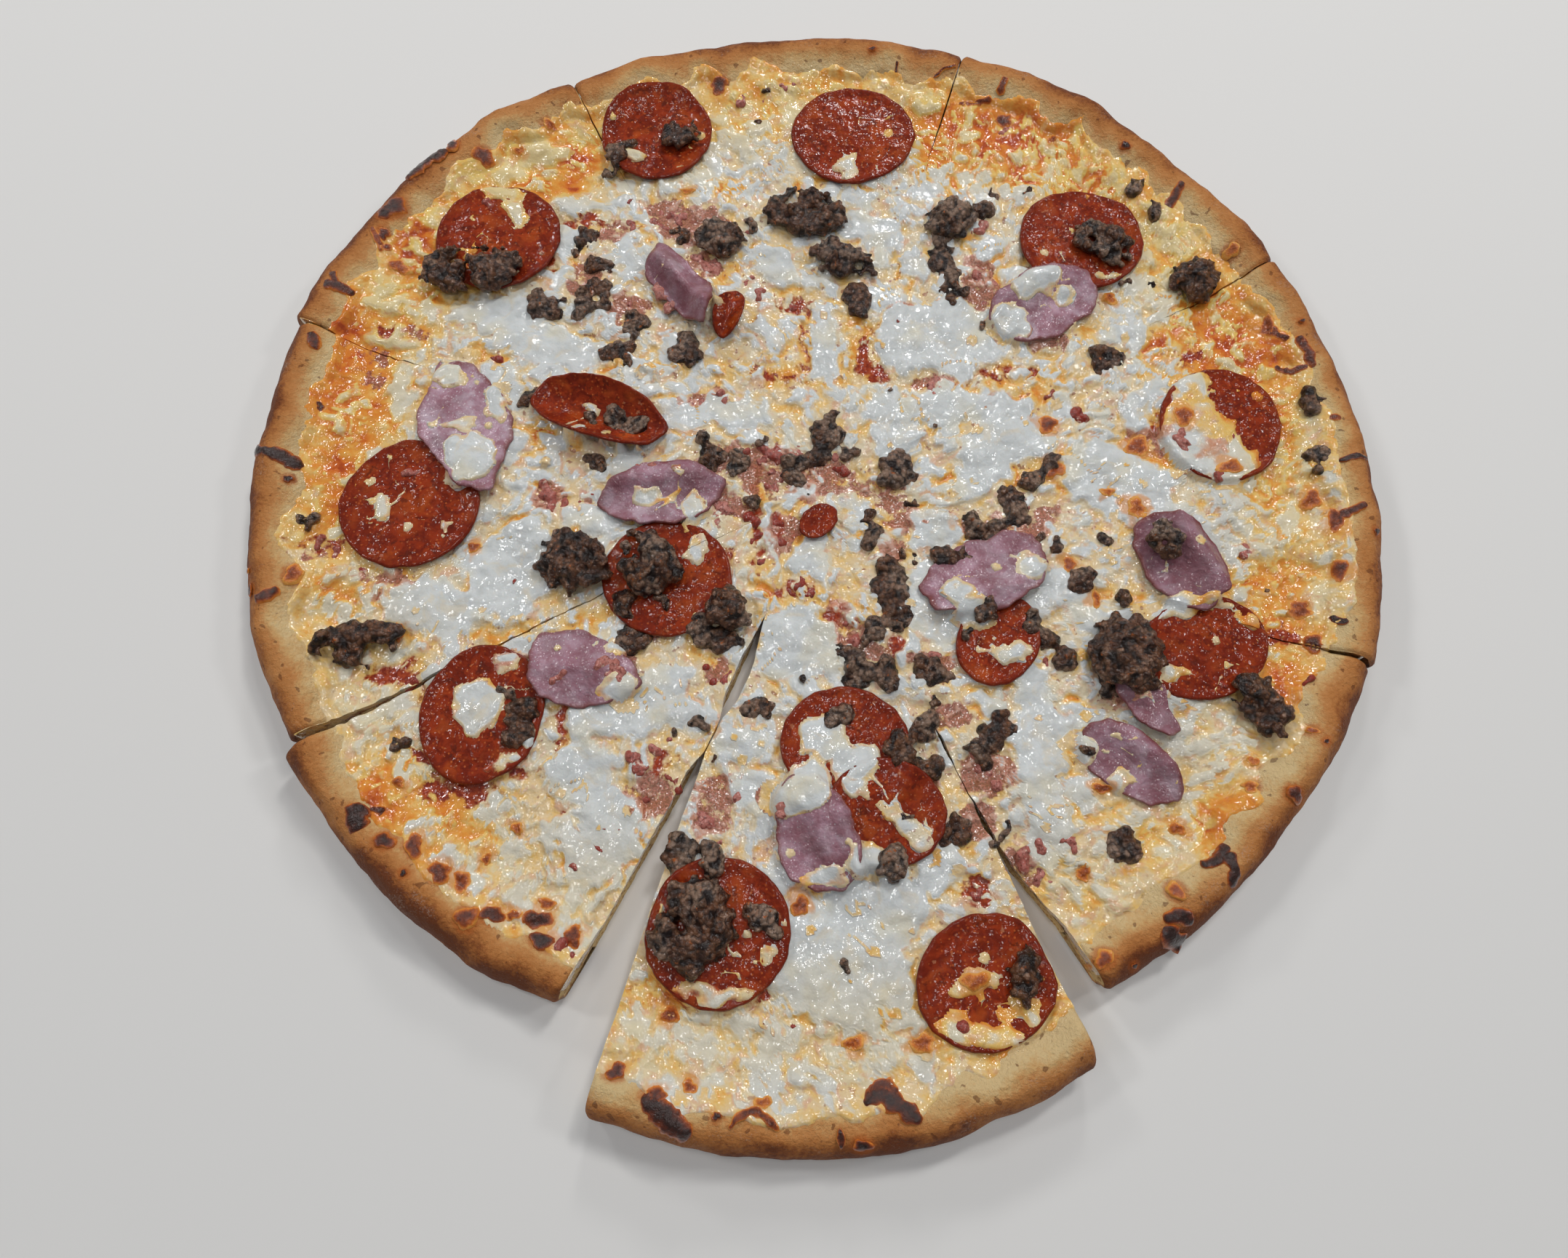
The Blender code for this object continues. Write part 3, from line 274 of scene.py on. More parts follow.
# Browned blisters: centre, length, width, turn, and how burnt
BLISTERS = [
    (-115, 115, 4, 5, 0, 0.8), (-105, 112, 6, 6, 0, 0.7), (-131, 92, 8, 6, 0, 0.9),
    (-133, 90, 5, 4, 0, 1.0), (-133, 83, 3, 4, 30, 0.8), (-132, 79, 3, 3, 0, 0.6),
    (-128, 73, 6, 5, 0, 0.5), (-85, 125, 5, 3, 0, 0.4), (-95, 117, 4, 3, 0, 0.35),
    (-149, -0.5, 2.2, 2.2, 0, 1.0), (-144.5, 24, 2, 3, 0, 0.9), (-143, -29, 5, 5.5, 0, 0.5),
    (-155, -34, 1.8, 3, 0, 1.0), (-113, -44, 3, 5, 0, 0.7), (-95, -18.5, 3, 4, 0, 0.5),
    (-107.5, -101.5, 5, 4, 0, 0.9), (-100, -102.5, 4, 7, 30, 0.7), (-92.5, -109, 6, 5, -30, 0.7),
    (-87, -111, 5, 5, 0, 0.55), (-84, -120, 5, 6, 0, 0.7), (-78, -119, 6, 4, 0, 0.85),
    (-67, -120, 7, 5, 0, 0.85), (-65, -125, 7, 3.5, -30, 0.95), (-57.5, -124, 5, 5, 0, 0.7),
    (-107, -86, 4, 3, 0, 0.5), (-65, -116, 5, 3, 0, 0.5), (-73, -119, 4, 3, 0, 0.5),
    (-82, -105, 3, 3, 0, 0.4), (-75, -97, 4, 3, 0, 0.4), (-101, -109.5, 1.6, 1.6, 0, 1.0),
    (-44, -155, 5, 3.5, 10, 0.8), (-34, -160, 6, 3.5, 0, 0.7), (-32, -142, 4, 5, 0, 0.6),
    (-26, -158, 4, 3, 0, 0.5), (0, -115, 5, 5, 0, 0.55), (14, -147.5, 5, 4, 0, 0.4),
    (31, -147, 6, 5, 0, 0.4), (-8, -161, 4, 3, 0, 0.4), (-19, -164, 2, 2, 0, 0.9),
    (44, -132, 7, 5, 0, 0.4), (79, -83, 5, 3, 0, 0.55), (127.5, -84, 5, 3.5, -20, 0.85),
    (76, -126, 5, 4, 30, 0.6), (84, -127.5, 1.4, 1.4, 0, 1.0), (119, -75, 3, 3, 0, 0.4),
    (117, -82, 4, 3, 0, 0.4), (95, -109, 4, 4, 0, 0.5), (98, -93, 4, 4, 0, 0.45),
    (73, -105, 4, 4, 0, 0.45), (134, -67, 3, 2, 0, 0.5), (137, -70, 1.6, 1.2, 0, 0.9),
    (96, 17.5, 8, 6, 0, 0.5), (70, 24, 6, 6, 0, 0.6), (71, 9, 6, 6, 0, 0.55), (109, 26, 5, 8, 0, 0.5),
    (121, 10, 7, 5, 0, 0.45), (94, -2.5, 6, 6, 0, 0.35), (86, 2.5, 4, 3, 0, 0.3),
    (74, -20, 4, 4, 0, 0.5), (144, 1, 5, 7, 0, 0.5), (149, -6, 4, 7, 0, 0.7),
    (148, -21, 4, 6, 0, 0.65), (137, -32, 7, 5, 0, 0.55), (139, -42, 6, 5, 0, 0.75),
    (81, -30, 3, 5, 0, 0.4), (61, 133, 6, 4, 10, 0.7), (76, 125, 3, 4, 0, 0.5),
    (128, 82, 4, 4, 0, 0.4), (137, 57, 4, 6, 0, 0.6), (-32, 144, 6, 5, 0, 0.8),
    (18, 155, 2, 1.6, 0, 0.9), (98, 120, 2.5, 2.5, 0, 1.0), (159, -10, 2, 2, 0, 1.0),
    (146, 57, 1.6, 1.2, 0, 1.0), (-157, -28, 1.5, 1.5, 0, 0.7), (16, -170, 4, 3, 0, 0.9),
    (91, 67, 5, 4, 0, 0.4), (-40, 103, 4, 2, 0, 0.3),
]

# Burnt runs of cheese: route, width, and how burnt
DRIPS = [
    ([(-162, 9), (-156.5, 7.5), (-152, 6.5), (-146, 3.5)], 3.6, 1.0),
    ([(-149.5, 47), (-148, 44), (-147, 41)], 3.0, 0.8),
    ([(-148, 63), (-143, 63), (-139, 61)], 3.6, 0.85), ([(-146, 68), (-144, 63)], 2.6, 0.85),
    ([(-128, 102), (-125, 107), (-119, 111), (-116, 113)], 4.6, 0.9),
    ([(-152, -37.5), (-148.5, -36), (-145.5, -34)], 3.2, 0.8),
    ([(110.5, 99), (113, 103), (115, 107)], 3.0, 0.75), ([(59, 140), (61, 145)], 2.6, 0.65),
    ([(151, 11.5), (156, 13), (160, 12.5)], 1.6, 1.0), ([(148, -6), (152, -4), (157, -2)], 2.6, 0.75),
    ([(144, -34), (145, -36), (148, -36.5)], 1.6, 1.0), ([(150, 26), (154, 25)], 1.5, 0.6),
    ([(102, -102.5), (106, -101.5), (109, -97)], 3.0, 0.95),
    ([(108, -99), (110, -103), (109, -108)], 3.4, 1.0),
    ([(91, -118), (94, -121), (98, -122)], 4.6, 1.0),
    ([(91, -116), (96, -115), (99, -117)], 2.8, 0.95),
    ([(-37, -160), (-33, -163), (-28, -167), (-25, -169)], 4.8, 0.95),
    ([(-16, -167), (-14, -164), (-10, -162.5), (-6, -165), (-4, -167)], 2.0, 0.6),
    ([(16, -161), (20, -158), (25, -161), (30, -164)], 4.0, 0.9),
    ([(17, -160), (20, -156), (25, -158)], 2.4, 0.7), ([(10.5, -166), (11, -171)], 1.5, 0.8),
    ([(-115, -92), (-116, -96), (-114, -99)], 6.0, 1.0), ([(-113, -93), (-109, -94)], 2.4, 0.8),
    ([(144, 52), (147, 47), (148, 42)], 2.6, 0.7), ([(138, 44), (142, 42), (147, 43)], 2.2, 0.7),
    ([(137, 57), (139, 53), (142, 51)], 2.4, 0.7), ([(26, 148), (26, 152)], 1.0, 0.8),
    ([(38, 147), (42, 149.5), (46, 150)], 0.7, 0.7), ([(-137, 85), (-134, 80), (-133, 77)], 2.0, 0.5),
    ([(46, 139), (52, 138), (57, 139)], 1.6, 0.6),
]
HALOS = [(x, y, length + 1.2, width + 1.2, turn) for x, y, length, width, turn, _ in BLISTERS]


def clear_startup():
    for name in ("Cube", "Light", "Camera"):
        old = bpy.data.objects.get(name)
        if old:
            bpy.data.objects.remove(old, do_unlink=True)


def linear(colour):
    """Linear colour from the screen values, 0 to 255, that the photograph shows."""
    return tuple(((c / 255 + 0.055) / 1.055) ** 2.4 if c > 10 else c / 3295 for c in colour)


# Noise and other fields over the plan

NOISE_TABLE = 256
# How far outside an oval a place still counts, and the depth of places further out, in mm
OVALS_NEAR = 8
OVALS_FAR = -30.0


def gradient_noise(x, y, size, seed):
    """Smooth noise from about -1 to 1, with bumps about as wide as size."""
    turns = np.random.default_rng(seed).uniform(0, math.tau, (NOISE_TABLE, NOISE_TABLE))
    gx, gy = np.cos(turns), np.sin(turns)
    u, v = x / size + 517.3, y / size + 431.7
    i, j = np.floor(u).astype(int), np.floor(v).astype(int)
    fu, fv = u - i, v - j
    su = fu ** 3 * (fu * (fu * 6 - 15) + 10)
    sv = fv ** 3 * (fv * (fv * 6 - 15) + 10)
    total = np.zeros(np.shape(x))
    for di, wu in ((0, 1 - su), (1, su)):
        for dj, wv in ((0, 1 - sv), (1, sv)):
            a, b = (i + di) % NOISE_TABLE, (j + dj) % NOISE_TABLE
            total += (gx[a, b] * (fu - di) + gy[a, b] * (fv - dj)) * wu * wv
    return 1.6 * total


def noises(x, y, *layers):
    """The sum of layers of smooth noise, each given as (amount, size, seed)."""
    return sum(amount * gradient_noise(x, y, size, seed) for amount, size, seed in layers)


def cell_noise(x, y, size, seed):
    """Distance to the nearest of scattered points in units of size, and a random value of it."""
    rng = np.random.default_rng(seed)
    jitter = rng.uniform(0.05, 0.95, (2, NOISE_TABLE, NOISE_TABLE))
    value = rng.random((NOISE_TABLE, NOISE_TABLE))
    u, v = x / size + 517.3, y / size + 431.7
    i, j = np.floor(u).astype(int), np.floor(v).astype(int)
    nearest = np.full(np.shape(x), 9.0)
    chosen = np.zeros(np.shape(x))
    for di in (-1, 0, 1):
        for dj in (-1, 0, 1):
            a, b = (i + di) % NOISE_TABLE, (j + dj) % NOISE_TABLE
            distance = np.hypot(i + di + jitter[0, a, b] - u, j + dj + jitter[1, a, b] - v)
            closer = distance < nearest
            nearest = np.where(closer, distance, nearest)
            chosen = np.where(closer, value[a, b], chosen)
    return nearest, chosen


def shuffled(order, cells):
    """A number for each cell of space, which looks random but is always the same."""
    x, y, z = cells.T
    return order[(order[(order[x % NOISE_TABLE] + y) % NOISE_TABLE] + z) % NOISE_TABLE]


def solid_noise(points, size, seed):
    """Smooth noise from about -1 to 1 through space, for points of shape (n, 3)."""
    rng = np.random.default_rng(seed)
    turn = rng.normal(size=(NOISE_TABLE, 3))
    turn /= np.linalg.norm(turn, axis=1)[:, None]
    order = rng.permutation(NOISE_TABLE)
    place = points / size + 311.1
    cell = np.floor(place).astype(int)
    part = place - cell
    ease = part ** 3 * (part * (part * 6 - 15) + 10)
    total = np.zeros(len(points))
    for corner in np.ndindex(2, 2, 2):
        k = cell + corner
        index = shuffled(order, k)
        weight = np.prod(np.where(np.array(corner) == 1, ease, 1 - ease), axis=1)
        total += (turn[index] * (part - corner)).sum(1) * weight
    return 1.6 * total


def solid_noises(points, *layers):
    """The sum of layers of noise through space, each given as (amount, size, seed)."""
    return sum(amount * solid_noise(points, size, seed) for amount, size, seed in layers)


def solid_cells(points, size, seed):
    """Distance in units of size to the nearest of points scattered through space."""
    rng = np.random.default_rng(seed)
    jitter = rng.uniform(0.05, 0.95, (NOISE_TABLE, 3))
    order = rng.permutation(NOISE_TABLE)
    place = points / size + 311.1
    cell = np.floor(place).astype(int)
    nearest = np.full(len(points), 9.0)
    for step in np.ndindex(3, 3, 3):
        k = cell + np.array(step) - 1
        index = shuffled(order, k)
        nearest = np.minimum(nearest, np.linalg.norm(k + jitter[index] - place, axis=1))
    return nearest


def eased(value, low, high):
    """0 at low and 1 at high, with a soft start and end."""
    t = np.clip((value - low) / (high - low), 0, 1)
    return t * t * (3 - 2 * t)


def within(ovals, x, y):
    """How far inside the nearest edge of the given ovals each point lies, in mm, below zero outside."""
    inside = np.full(np.shape(x), OVALS_FAR)
    for centre_x, centre_y, length, width, turn in ovals:
        reach = 0.5 * length + 0.5 * width + OVALS_NEAR
        near = (np.abs(x - centre_x) < reach) & (np.abs(y - centre_y) < reach)
        if not near.any():
            continue
        spin = math.radians(turn)
        dx, dy = x[near] - centre_x, y[near] - centre_y
        along = (dx * math.cos(spin) + dy * math.sin(spin)) / (0.5 * length)
        aside = (dy * math.cos(spin) - dx * math.sin(spin)) / (0.5 * width)
        depth = (1 - np.hypot(along, aside)) * 0.5 * min(length, width)
        inside[near] = np.maximum(inside[near], depth)
    return inside


def turned(x, y, along, aside, turn):
    """The place that lies along and aside from (x, y) after a turn in radians."""
    return (
        x + along * math.cos(turn) - aside * math.sin(turn),
        y + along * math.sin(turn) + aside * math.cos(turn),
    )


# Maps of heights over the plan, taken from the solids

MAP_SHAPE = (
    int(round((MAP_X[1] - MAP_X[0]) / MAP_STEP)) + 1,
    int(round((MAP_Y[1] - MAP_Y[0]) / MAP_STEP)) + 1,
)


def vectors(items, key):
    """A vector of each item of a mesh, such as its place, as rows."""
    values = np.empty(len(items) * 3)
    items.foreach_get(key, values)
    return values.reshape(-1, 3)


def node_triangles(name):
    """Corners of a solid's triangles, in mm from the crossing of the cuts."""
    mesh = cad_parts[name].data
    mesh.calc_loop_triangles()
    points = vectors(mesh.vertices, "co") / MM - (*CUTS_CROSS_AT, 0.0)
    index = np.empty(len(mesh.loop_triangles) * 3, int)
    mesh.loop_triangles.foreach_get("vertices", index)
    return points[index].reshape(-1, 3, 3)


def height_maps(names):
    """Highest and lowest point of the named solids over each point of the map."""
    top = np.full(MAP_SHAPE, -np.inf)
    low = np.full(MAP_SHAPE, np.inf)
    for name in names:
        for a, b, c in node_triangles(name):
            area = (b[0] - a[0]) * (c[1] - a[1]) - (c[0] - a[0]) * (b[1] - a[1])
            x_range = (min(a[0], b[0], c[0]), max(a[0], b[0], c[0]))
            y_range = (min(a[1], b[1], c[1]), max(a[1], b[1], c[1]))
            i0 = math.ceil((x_range[0] - MAP_X[0]) / MAP_STEP)
            i1 = math.floor((x_range[1] - MAP_X[0]) / MAP_STEP) + 1
            j0 = math.ceil((y_range[0] - MAP_Y[0]) / MAP_STEP)
            j1 = math.floor((y_range[1] - MAP_Y[0]) / MAP_STEP) + 1
            if abs(area) < 1e-9 or i1 <= i0 or j1 <= j0:
                continue
            x = (MAP_X[0] + np.arange(i0, i1) * MAP_STEP)[:, None]
            y = (MAP_Y[0] + np.arange(j0, j1) * MAP_STEP)[None, :]
            u = ((x - a[0]) * (c[1] - a[1]) - (c[0] - a[0]) * (y - a[1])) / area
            v = ((b[0] - a[0]) * (y - a[1]) - (x - a[0]) * (b[1] - a[1])) / area
            inside = (u >= -1e-6) & (v >= -1e-6) & (u + v <= 1 + 1e-6)
            z = a[2] + u * (b[2] - a[2]) + v * (c[2] - a[2])
            window = (slice(i0, i1), slice(j0, j1))
            top[window] = np.maximum(top[window], np.where(inside, z, -np.inf))
            low[window] = np.minimum(low[window], np.where(inside, z, np.inf))
    return top, low


def blurred(values, width):
    """A map blurred by a bell curve with the given width in mm."""
    reach = int(math.ceil(3 * width / MAP_STEP))
    weights = np.exp(-0.5 * (np.arange(-reach, reach + 1) * MAP_STEP / width) ** 2)
    weights /= weights.sum()
    for axis in (0, 1):
        pad = [(0, 0), (0, 0)]
        pad[axis] = (reach, reach)
        wide = np.pad(values, pad, mode="edge")
        total = np.zeros(values.shape)
        for k, weight in enumerate(weights):
            part = slice(k, k + values.shape[axis])
            total += weight * (wide[part] if axis == 0 else wide[:, part])
        values = total
    return values


def spread(values, width):
    """A map with gaps, blurred, and carried on into its gaps from what is next to them."""
    known = np.isfinite(values)
    weight = known.astype(float)
    total = np.where(known, values, 0.0)
    near = blurred(weight, width)
    far = blurred(weight, 4 * width)
    close = blurred(total, width) / np.maximum(near, 1e-9)
    wide = blurred(total, 4 * width) / np.maximum(far, 1e-9)
    return np.where(near > 0.02, close, wide)


def sample(values, x, y):
    """Values of a map at places, blended between its points."""
    u = np.clip((x - MAP_X[0]) / MAP_STEP, 0, MAP_SHAPE[0] - 1.001)
    v = np.clip((y - MAP_Y[0]) / MAP_STEP, 0, MAP_SHAPE[1] - 1.001)
    i, j = u.astype(int), v.astype(int)
    fu, fv = u - i, v - j
    low = values[i, j] * (1 - fv) + values[i, j + 1] * fv
    high = values[i + 1, j] * (1 - fv) + values[i + 1, j + 1] * fv
    return low * (1 - fu) + high * fu


# The slices

def smooth_line(pairs, x):
    """Values at x of a line through (x, value) pairs, with its corners eased."""
    xs, ys = np.array(sorted(pairs), float).T
    k = np.clip(np.searchsorted(xs, x) - 1, 0, len(xs) - 2)
    t = np.clip((x - xs[k]) / (xs[k + 1] - xs[k]), 0, 1)
    return ys[k] + (ys[k + 1] - ys[k]) * t * t * (3 - 2 * t)


def straight_line(pairs, x):
    """Values at x of a straight line through (x, value) pairs."""
    xs, ys = zip(*pairs)
    return np.interp(x, xs, ys)


def waves(seed, count, low, high):
    """The seeded sum of sines that bends the solids' outlines by -1 to 1."""
    draw = random.Random(seed)
    terms = []
    for _ in range(count):
        terms.append((draw.uniform(low, high), draw.uniform(low, high), draw.uniform(0, math.tau)))

    def value(x, y):
        return sum(np.sin(a * x + b * y + phase) for a, b, phase in terms) / count ** 0.5
    return value


def rim_curve():
    """The rim's section as a fine smooth curve of (share in from outside, height in mm)."""
    points = np.array([(1.0, DOUGH_TOP)] + [(a, h * RIM_TOP) for a, h in RIM_SECTION])
    before = np.vstack([points[:1], points[:-1]])
    after = np.vstack([points[1:], points[-1:]])
    curve = []
    for k in range(len(points) - 1):
        p0, p1, p2, p3 = before[k], points[k], points[k + 1], after[k + 1]
        steps = 6 if k in (1, 2, 3, 4) else 4
        for s in range(steps):
            t = s / steps
            curve.append(
                0.5 * (2 * p1 + (p2 - p0) * t + (2 * p0 - 5 * p1 + 4 * p2 - p3) * t * t
                       + (3 * p1 - p0 - 3 * p2 + p3) * t ** 3)
            )
    curve.append(points[-1])
    curve = np.array(curve)
    curve[:, 0] = np.clip(curve[:, 0], 0.0, 1.0)
    curve[:, 1] = np.clip(curve[:, 1], 0.0, RIM_TOP)
    return curve


RIM_CURVE = rim_curve()
RIM_OUTERMOST = int(np.argmin(RIM_CURVE[:, 0]))
# The upper side of the rim, from the outside inwards
RIM_UPPER = RIM_CURVE[:RIM_OUTERMOST + 1][::-1]


class Slice:
    """One slice: its two cut edges as angles for each distance, and its rim's radius."""

    def __init__(self, name, right, left, rim, seed, open_right=None, open_left=None):
        """open_right and open_left give the neighbour's edge and where cheese joins the two."""
        self.name = name
        self.right = right
        self.left = left
        self.rim = rim
        self.open = (open_right, open_left)
        self.seed = seed
        self.wave = waves(seed, 5, 0.04, 0.16)

    def edge(self, side, radius, melted):
        """Angle of the right cut edge, side 0, or the left one, side 1."""
        own = straight_line(self.left if side else self.right, radius)
        safe = np.maximum(radius, TIP_RADIUS)
        half_gap = CUT_HALF_GAP
        if melted and self.open[side]:
            neighbour, join = self.open[side]
            closed = straight_line(join, radius)
            own = own + 0.5 * closed * (straight_line(neighbour, radius) - own)
            half_gap = CUT_HALF_GAP * (1 - closed)
        elif melted:
            half_gap = CUT_HALF_GAP * eased(radius, 118, 140)
        trim = np.degrees(np.minimum(half_gap / safe, 0.1))
        return own - trim if side else own + trim

    def angle(self, radius, share, melted=True):
        """Angles at shares of the way from the right cut to the left one."""
        right, left = self.edge(0, radius, melted), self.edge(1, radius, melted)
        return right + (left - right) * share

    def outer(self, share):
        """Radius of the rim's outer side."""
        angle = self.angle(165.0, share, melted=False)
        return smooth_line(self.rim, angle) + 0.25 * self.wave(2 * angle, 3 * angle) - 0.25

    def foot(self, share):
        """Radius where the rim rises from the flat dough."""
        angle = self.angle(150.0, share, melted=False)
        return self.outer(share) - RIM_WIDTH + 1.6 * self.wave(3 * angle, 5 * angle)

    def place(self, radius, share, melted=True):
        """x and y at a radius and a share of the way across."""
        angle = np.radians(self.angle(radius, share, melted))
        return radius * np.cos(angle), radius * np.sin(angle)

    def swell(self, share):
        """How much higher or lower than usual the rim is."""
        return 1 + RIM_SWELL * self.wave(90 * share, 40)

    def crust_height(self, radius, share):
        """Height of the crust's upper side, which is the flat dough inside the rim."""
        outer, foot = self.outer(share), self.foot(share)
        across = np.clip((outer - radius) / (outer - foot), 0, 1)
        height = np.interp(across, RIM_UPPER[:, 0], RIM_UPPER[:, 1])
        return np.where(radius < foot, DOUGH_TOP, height * self.swell(share))


def make_slices():
    """The eight slices, from the back one clockwise."""
    closed = {cut: [(0, cut), (175, cut)] for cut in (CUT_A, CUT_B, CUT_C, CUT_D, CUT_H)}
    west_edge = [(0, CUT_G + 360), (175, CUT_G + 360)]
    return [
        Slice("n", closed[CUT_B], closed[CUT_A], RIM_N, 1),
        Slice("ne", closed[CUT_C], closed[CUT_B], RIM_NE, 2),
        Slice("e", closed[CUT_D], closed[CUT_C], RIM_E, 3),
        Slice("se", SE_WEST_EDGE, closed[CUT_D], RIM_SE, 4, open_right=(S_EAST_EDGE, EAST_JOIN)),
        Slice(
            "s", S_WEST_EDGE, S_EAST_EDGE, RIM_S, 5,
            open_right=(SW_EAST_EDGE, WEST_JOIN), open_left=(SE_WEST_EDGE, EAST_JOIN),
        ),
        Slice("sw", SW_WEST_EDGE, SW_EAST_EDGE, RIM_SW, 6, open_left=(S_WEST_EDGE, WEST_JOIN)),
        Slice("w", closed[CUT_H], west_edge, RIM_W, 7),
        Slice("nw", closed[CUT_A], closed[CUT_H], RIM_NW, 8),
    ]


SLICES = make_slices()
TOPPINGS = sorted(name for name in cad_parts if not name.startswith(("crust", "cheese")))
FLAT_TOPPINGS = [name for name in TOPPINGS if not name.startswith("crumble")]
CHEESE_TOP, _ = height_maps(["cheese_" + piece.name for piece in SLICES])
CHEESE_TOP = spread(CHEESE_TOP, 3.0)
FLAT_TOP, _ = height_maps(FLAT_TOPPINGS)
FLAT_MASK = blurred(np.isfinite(FLAT_TOP).astype(float), 0.6)
FLAT_WIDE = blurred(np.isfinite(FLAT_TOP).astype(float), 1.4)
FLAT_TOP = spread(FLAT_TOP, 0.7)


def slice_at(x, y):
    """For each point, which slice it is in and its share of the way across it."""
    radius = np.hypot(x, y)
    turn = np.degrees(np.arctan2(y, x))
    found = np.full(np.shape(x), -1)
    shares = np.zeros(np.shape(x))
    for k, piece in enumerate(SLICES):
        right = piece.angle(radius, 0.0)
        left = piece.angle(radius, 1.0)
        for lap in (0, 360):
            share = (turn + lap - right) / (left - right)
            inside = (share >= 0) & (share <= 1) & (found < 0)
            found = np.where(inside, k, found)
            shares = np.where(inside, share, shares)
    return found, shares


# The cheese

# How far past the rim's foot the cheese is made
FOOT_FILM = 12.0
# Cheese over toppings: its thickness, how far it falls away beside them, and how rare its dots are
COVER_THICKNESS = 1.0
COVER_DROP = 6.0
DOTS_FROM = 0.87
# Rows in the cheese's edge from its top to the dough, into which it is sunk
WALL_ROWS = 4
CHEESE_LOW = DOUGH_TOP - 0.4


def warped(x, y, seed, reach=1.0, fine=0.6):
    """Places bent by noise at three sizes, which makes the outlines of pools ragged."""
    bend_x = noises(x, y, (2.4, 10, seed), (1.3, 4.2, seed + 1), (fine, 1.9, seed + 4))
    bend_y = noises(x, y, (2.4, 10, seed + 2), (1.3, 4.2, seed + 3), (fine, 1.9, seed + 5))
    return x + reach * bend_x, y + reach * bend_y


def cheese_cover(x, y, rim_near):
    """How much white cheese lies on each place, and where arcs of browned cheese edge the pools.

    Below -0.5 there is none, about -0.1 is a cream film, and above 0.3 it is white and thickens.
    """
    bend_x, bend_y = warped(x, y, 3, 1.5, 0.5)
    pool = within(WHITE_POOLS, bend_x, bend_y)
    fleck = eased(within(FLECKED, bend_x, bend_y), -4, 4)
    wet = eased(within(SAUCE, bend_x, bend_y), -1.5, 1.5)
    oily = 0.38 * eased(within(OILY, bend_x, bend_y), -3, 3)
    meaty = 0.95 * eased(within(MEATY, bend_x, bend_y), -2, 2)
    bare = np.maximum(np.maximum(wet, oily), meaty)
    near_5, pick_5 = cell_noise(bend_x, bend_y, 5.4, 23)
    near_3, pick_3 = cell_noise(bend_x, bend_y, 2.9, 24)
    blobs = np.maximum((0.12 + 0.52 * pick_5 - near_5) * 2.4, (0.08 + 0.50 * pick_3 - near_3) * 1.7)
    strands = 1 - np.abs(gradient_noise(bend_x, bend_y, 8.0, 25)) / 0.12
    strands = np.where(gradient_noise(x, y, 15, 26) > 0.0, 0.45 * strands, -1.0)
    drift = 0.45 * gradient_noise(x, y, 9, 21) + 0.22 * gradient_noise(bend_x, bend_y, 3.6, 22)
    loose = np.maximum(blobs, strands) - 0.14 + 0.42 * fleck - 0.65 * bare - 0.25 * rim_near + drift
    film = -0.14 + 0.6 * drift + 0.12 * gradient_noise(bend_x, bend_y, 5, 28)
    film += -0.95 * bare - 0.18 * rim_near
    arc = np.exp(-((pool + 1.2) / 0.9) ** 2) * eased(gradient_noise(x, y, 9, 27), 0.0, 0.35)
    solid = np.clip(0.40 * pool, -1.5, 1.0) + 0.30 * drift - 1.0 * wet
    return np.maximum(np.maximum(loose, film) - 0.70 * arc, solid), arc


def cheese_level(x, y, out, milk, lumps):
    """Height of the cheese beside the toppings, against which it banks up a little."""
    swells, _ = cell_noise(*warped(x, y, 31, 1.2), 11.0, 34)
    relief = 0.40 * gradient_noise(x, y, 12, 35) - 0.75 + 1.35 * milk
    relief += (0.70 - 0.35 * milk) * (0.5 - lumps) + 1.7 * milk * (0.45 - swells)
    relief += (0.30 - 0.16 * milk) * gradient_noise(x, y, 3.4, 36)
    relief += 0.08 * gradient_noise(x, y, 1.8, 37) * (1 - milk)
    relief += 2.3 * eased(out, -10, 1)
    bank = 0.8 * sample(FLAT_WIDE, x, y) * eased(gradient_noise(x, y, 8, 39), -0.5, 0.3)
    return sample(CHEESE_TOP, x, y) + relief + bank


def over_toppings(x, y):
    """How far inside the cheese that has run over toppings each place is, with dots and shreds of it."""
    bend_x, bend_y = warped(x, y, 41, 1.0, 0.15)
    over = within(OVER_TOPPINGS, bend_x, bend_y) + 0.8 * gradient_noise(x, y, 3.4, 40)
    small, pick = cell_noise(x, y, 4.6, 47)
    dots = (0.10 + 2.4 * (pick - DOTS_FROM) - small) * 4.6
    dots = np.where((pick > DOTS_FROM) & (gradient_noise(x, y, 17, 57) > -0.1), dots, -3.0)
    over = np.maximum(over, np.minimum(dots, 0.5))
    shreds = 1 - np.abs(gradient_noise(bend_x, bend_y, 9, 48)) / 0.07
    return np.maximum(over, np.where(gradient_noise(x, y, 14, 49) > 0.3, 0.5 * shreds, -3.0))


def rim_film(x, y, out, climb):
    """Thickness of the film of cheese that climbs the rim to a ragged line, and where that lies."""
    reach = 3.2 + noises(x, y, (2.8, 14, 51), (1.6, 5, 52), (0.7, 2.2, 53)) + 5.0 * climb
    left = reach - out
    film = np.where(left > 0, 0.05 + 0.40 * eased(left, 0, 4.5), -1.2 * np.clip(-left, 0, 1.2))
    film += noises(x, y, (0.16, 3.0, 54), (0.06, 1.6, 55)) * (left > 0.5)
    return film, reach


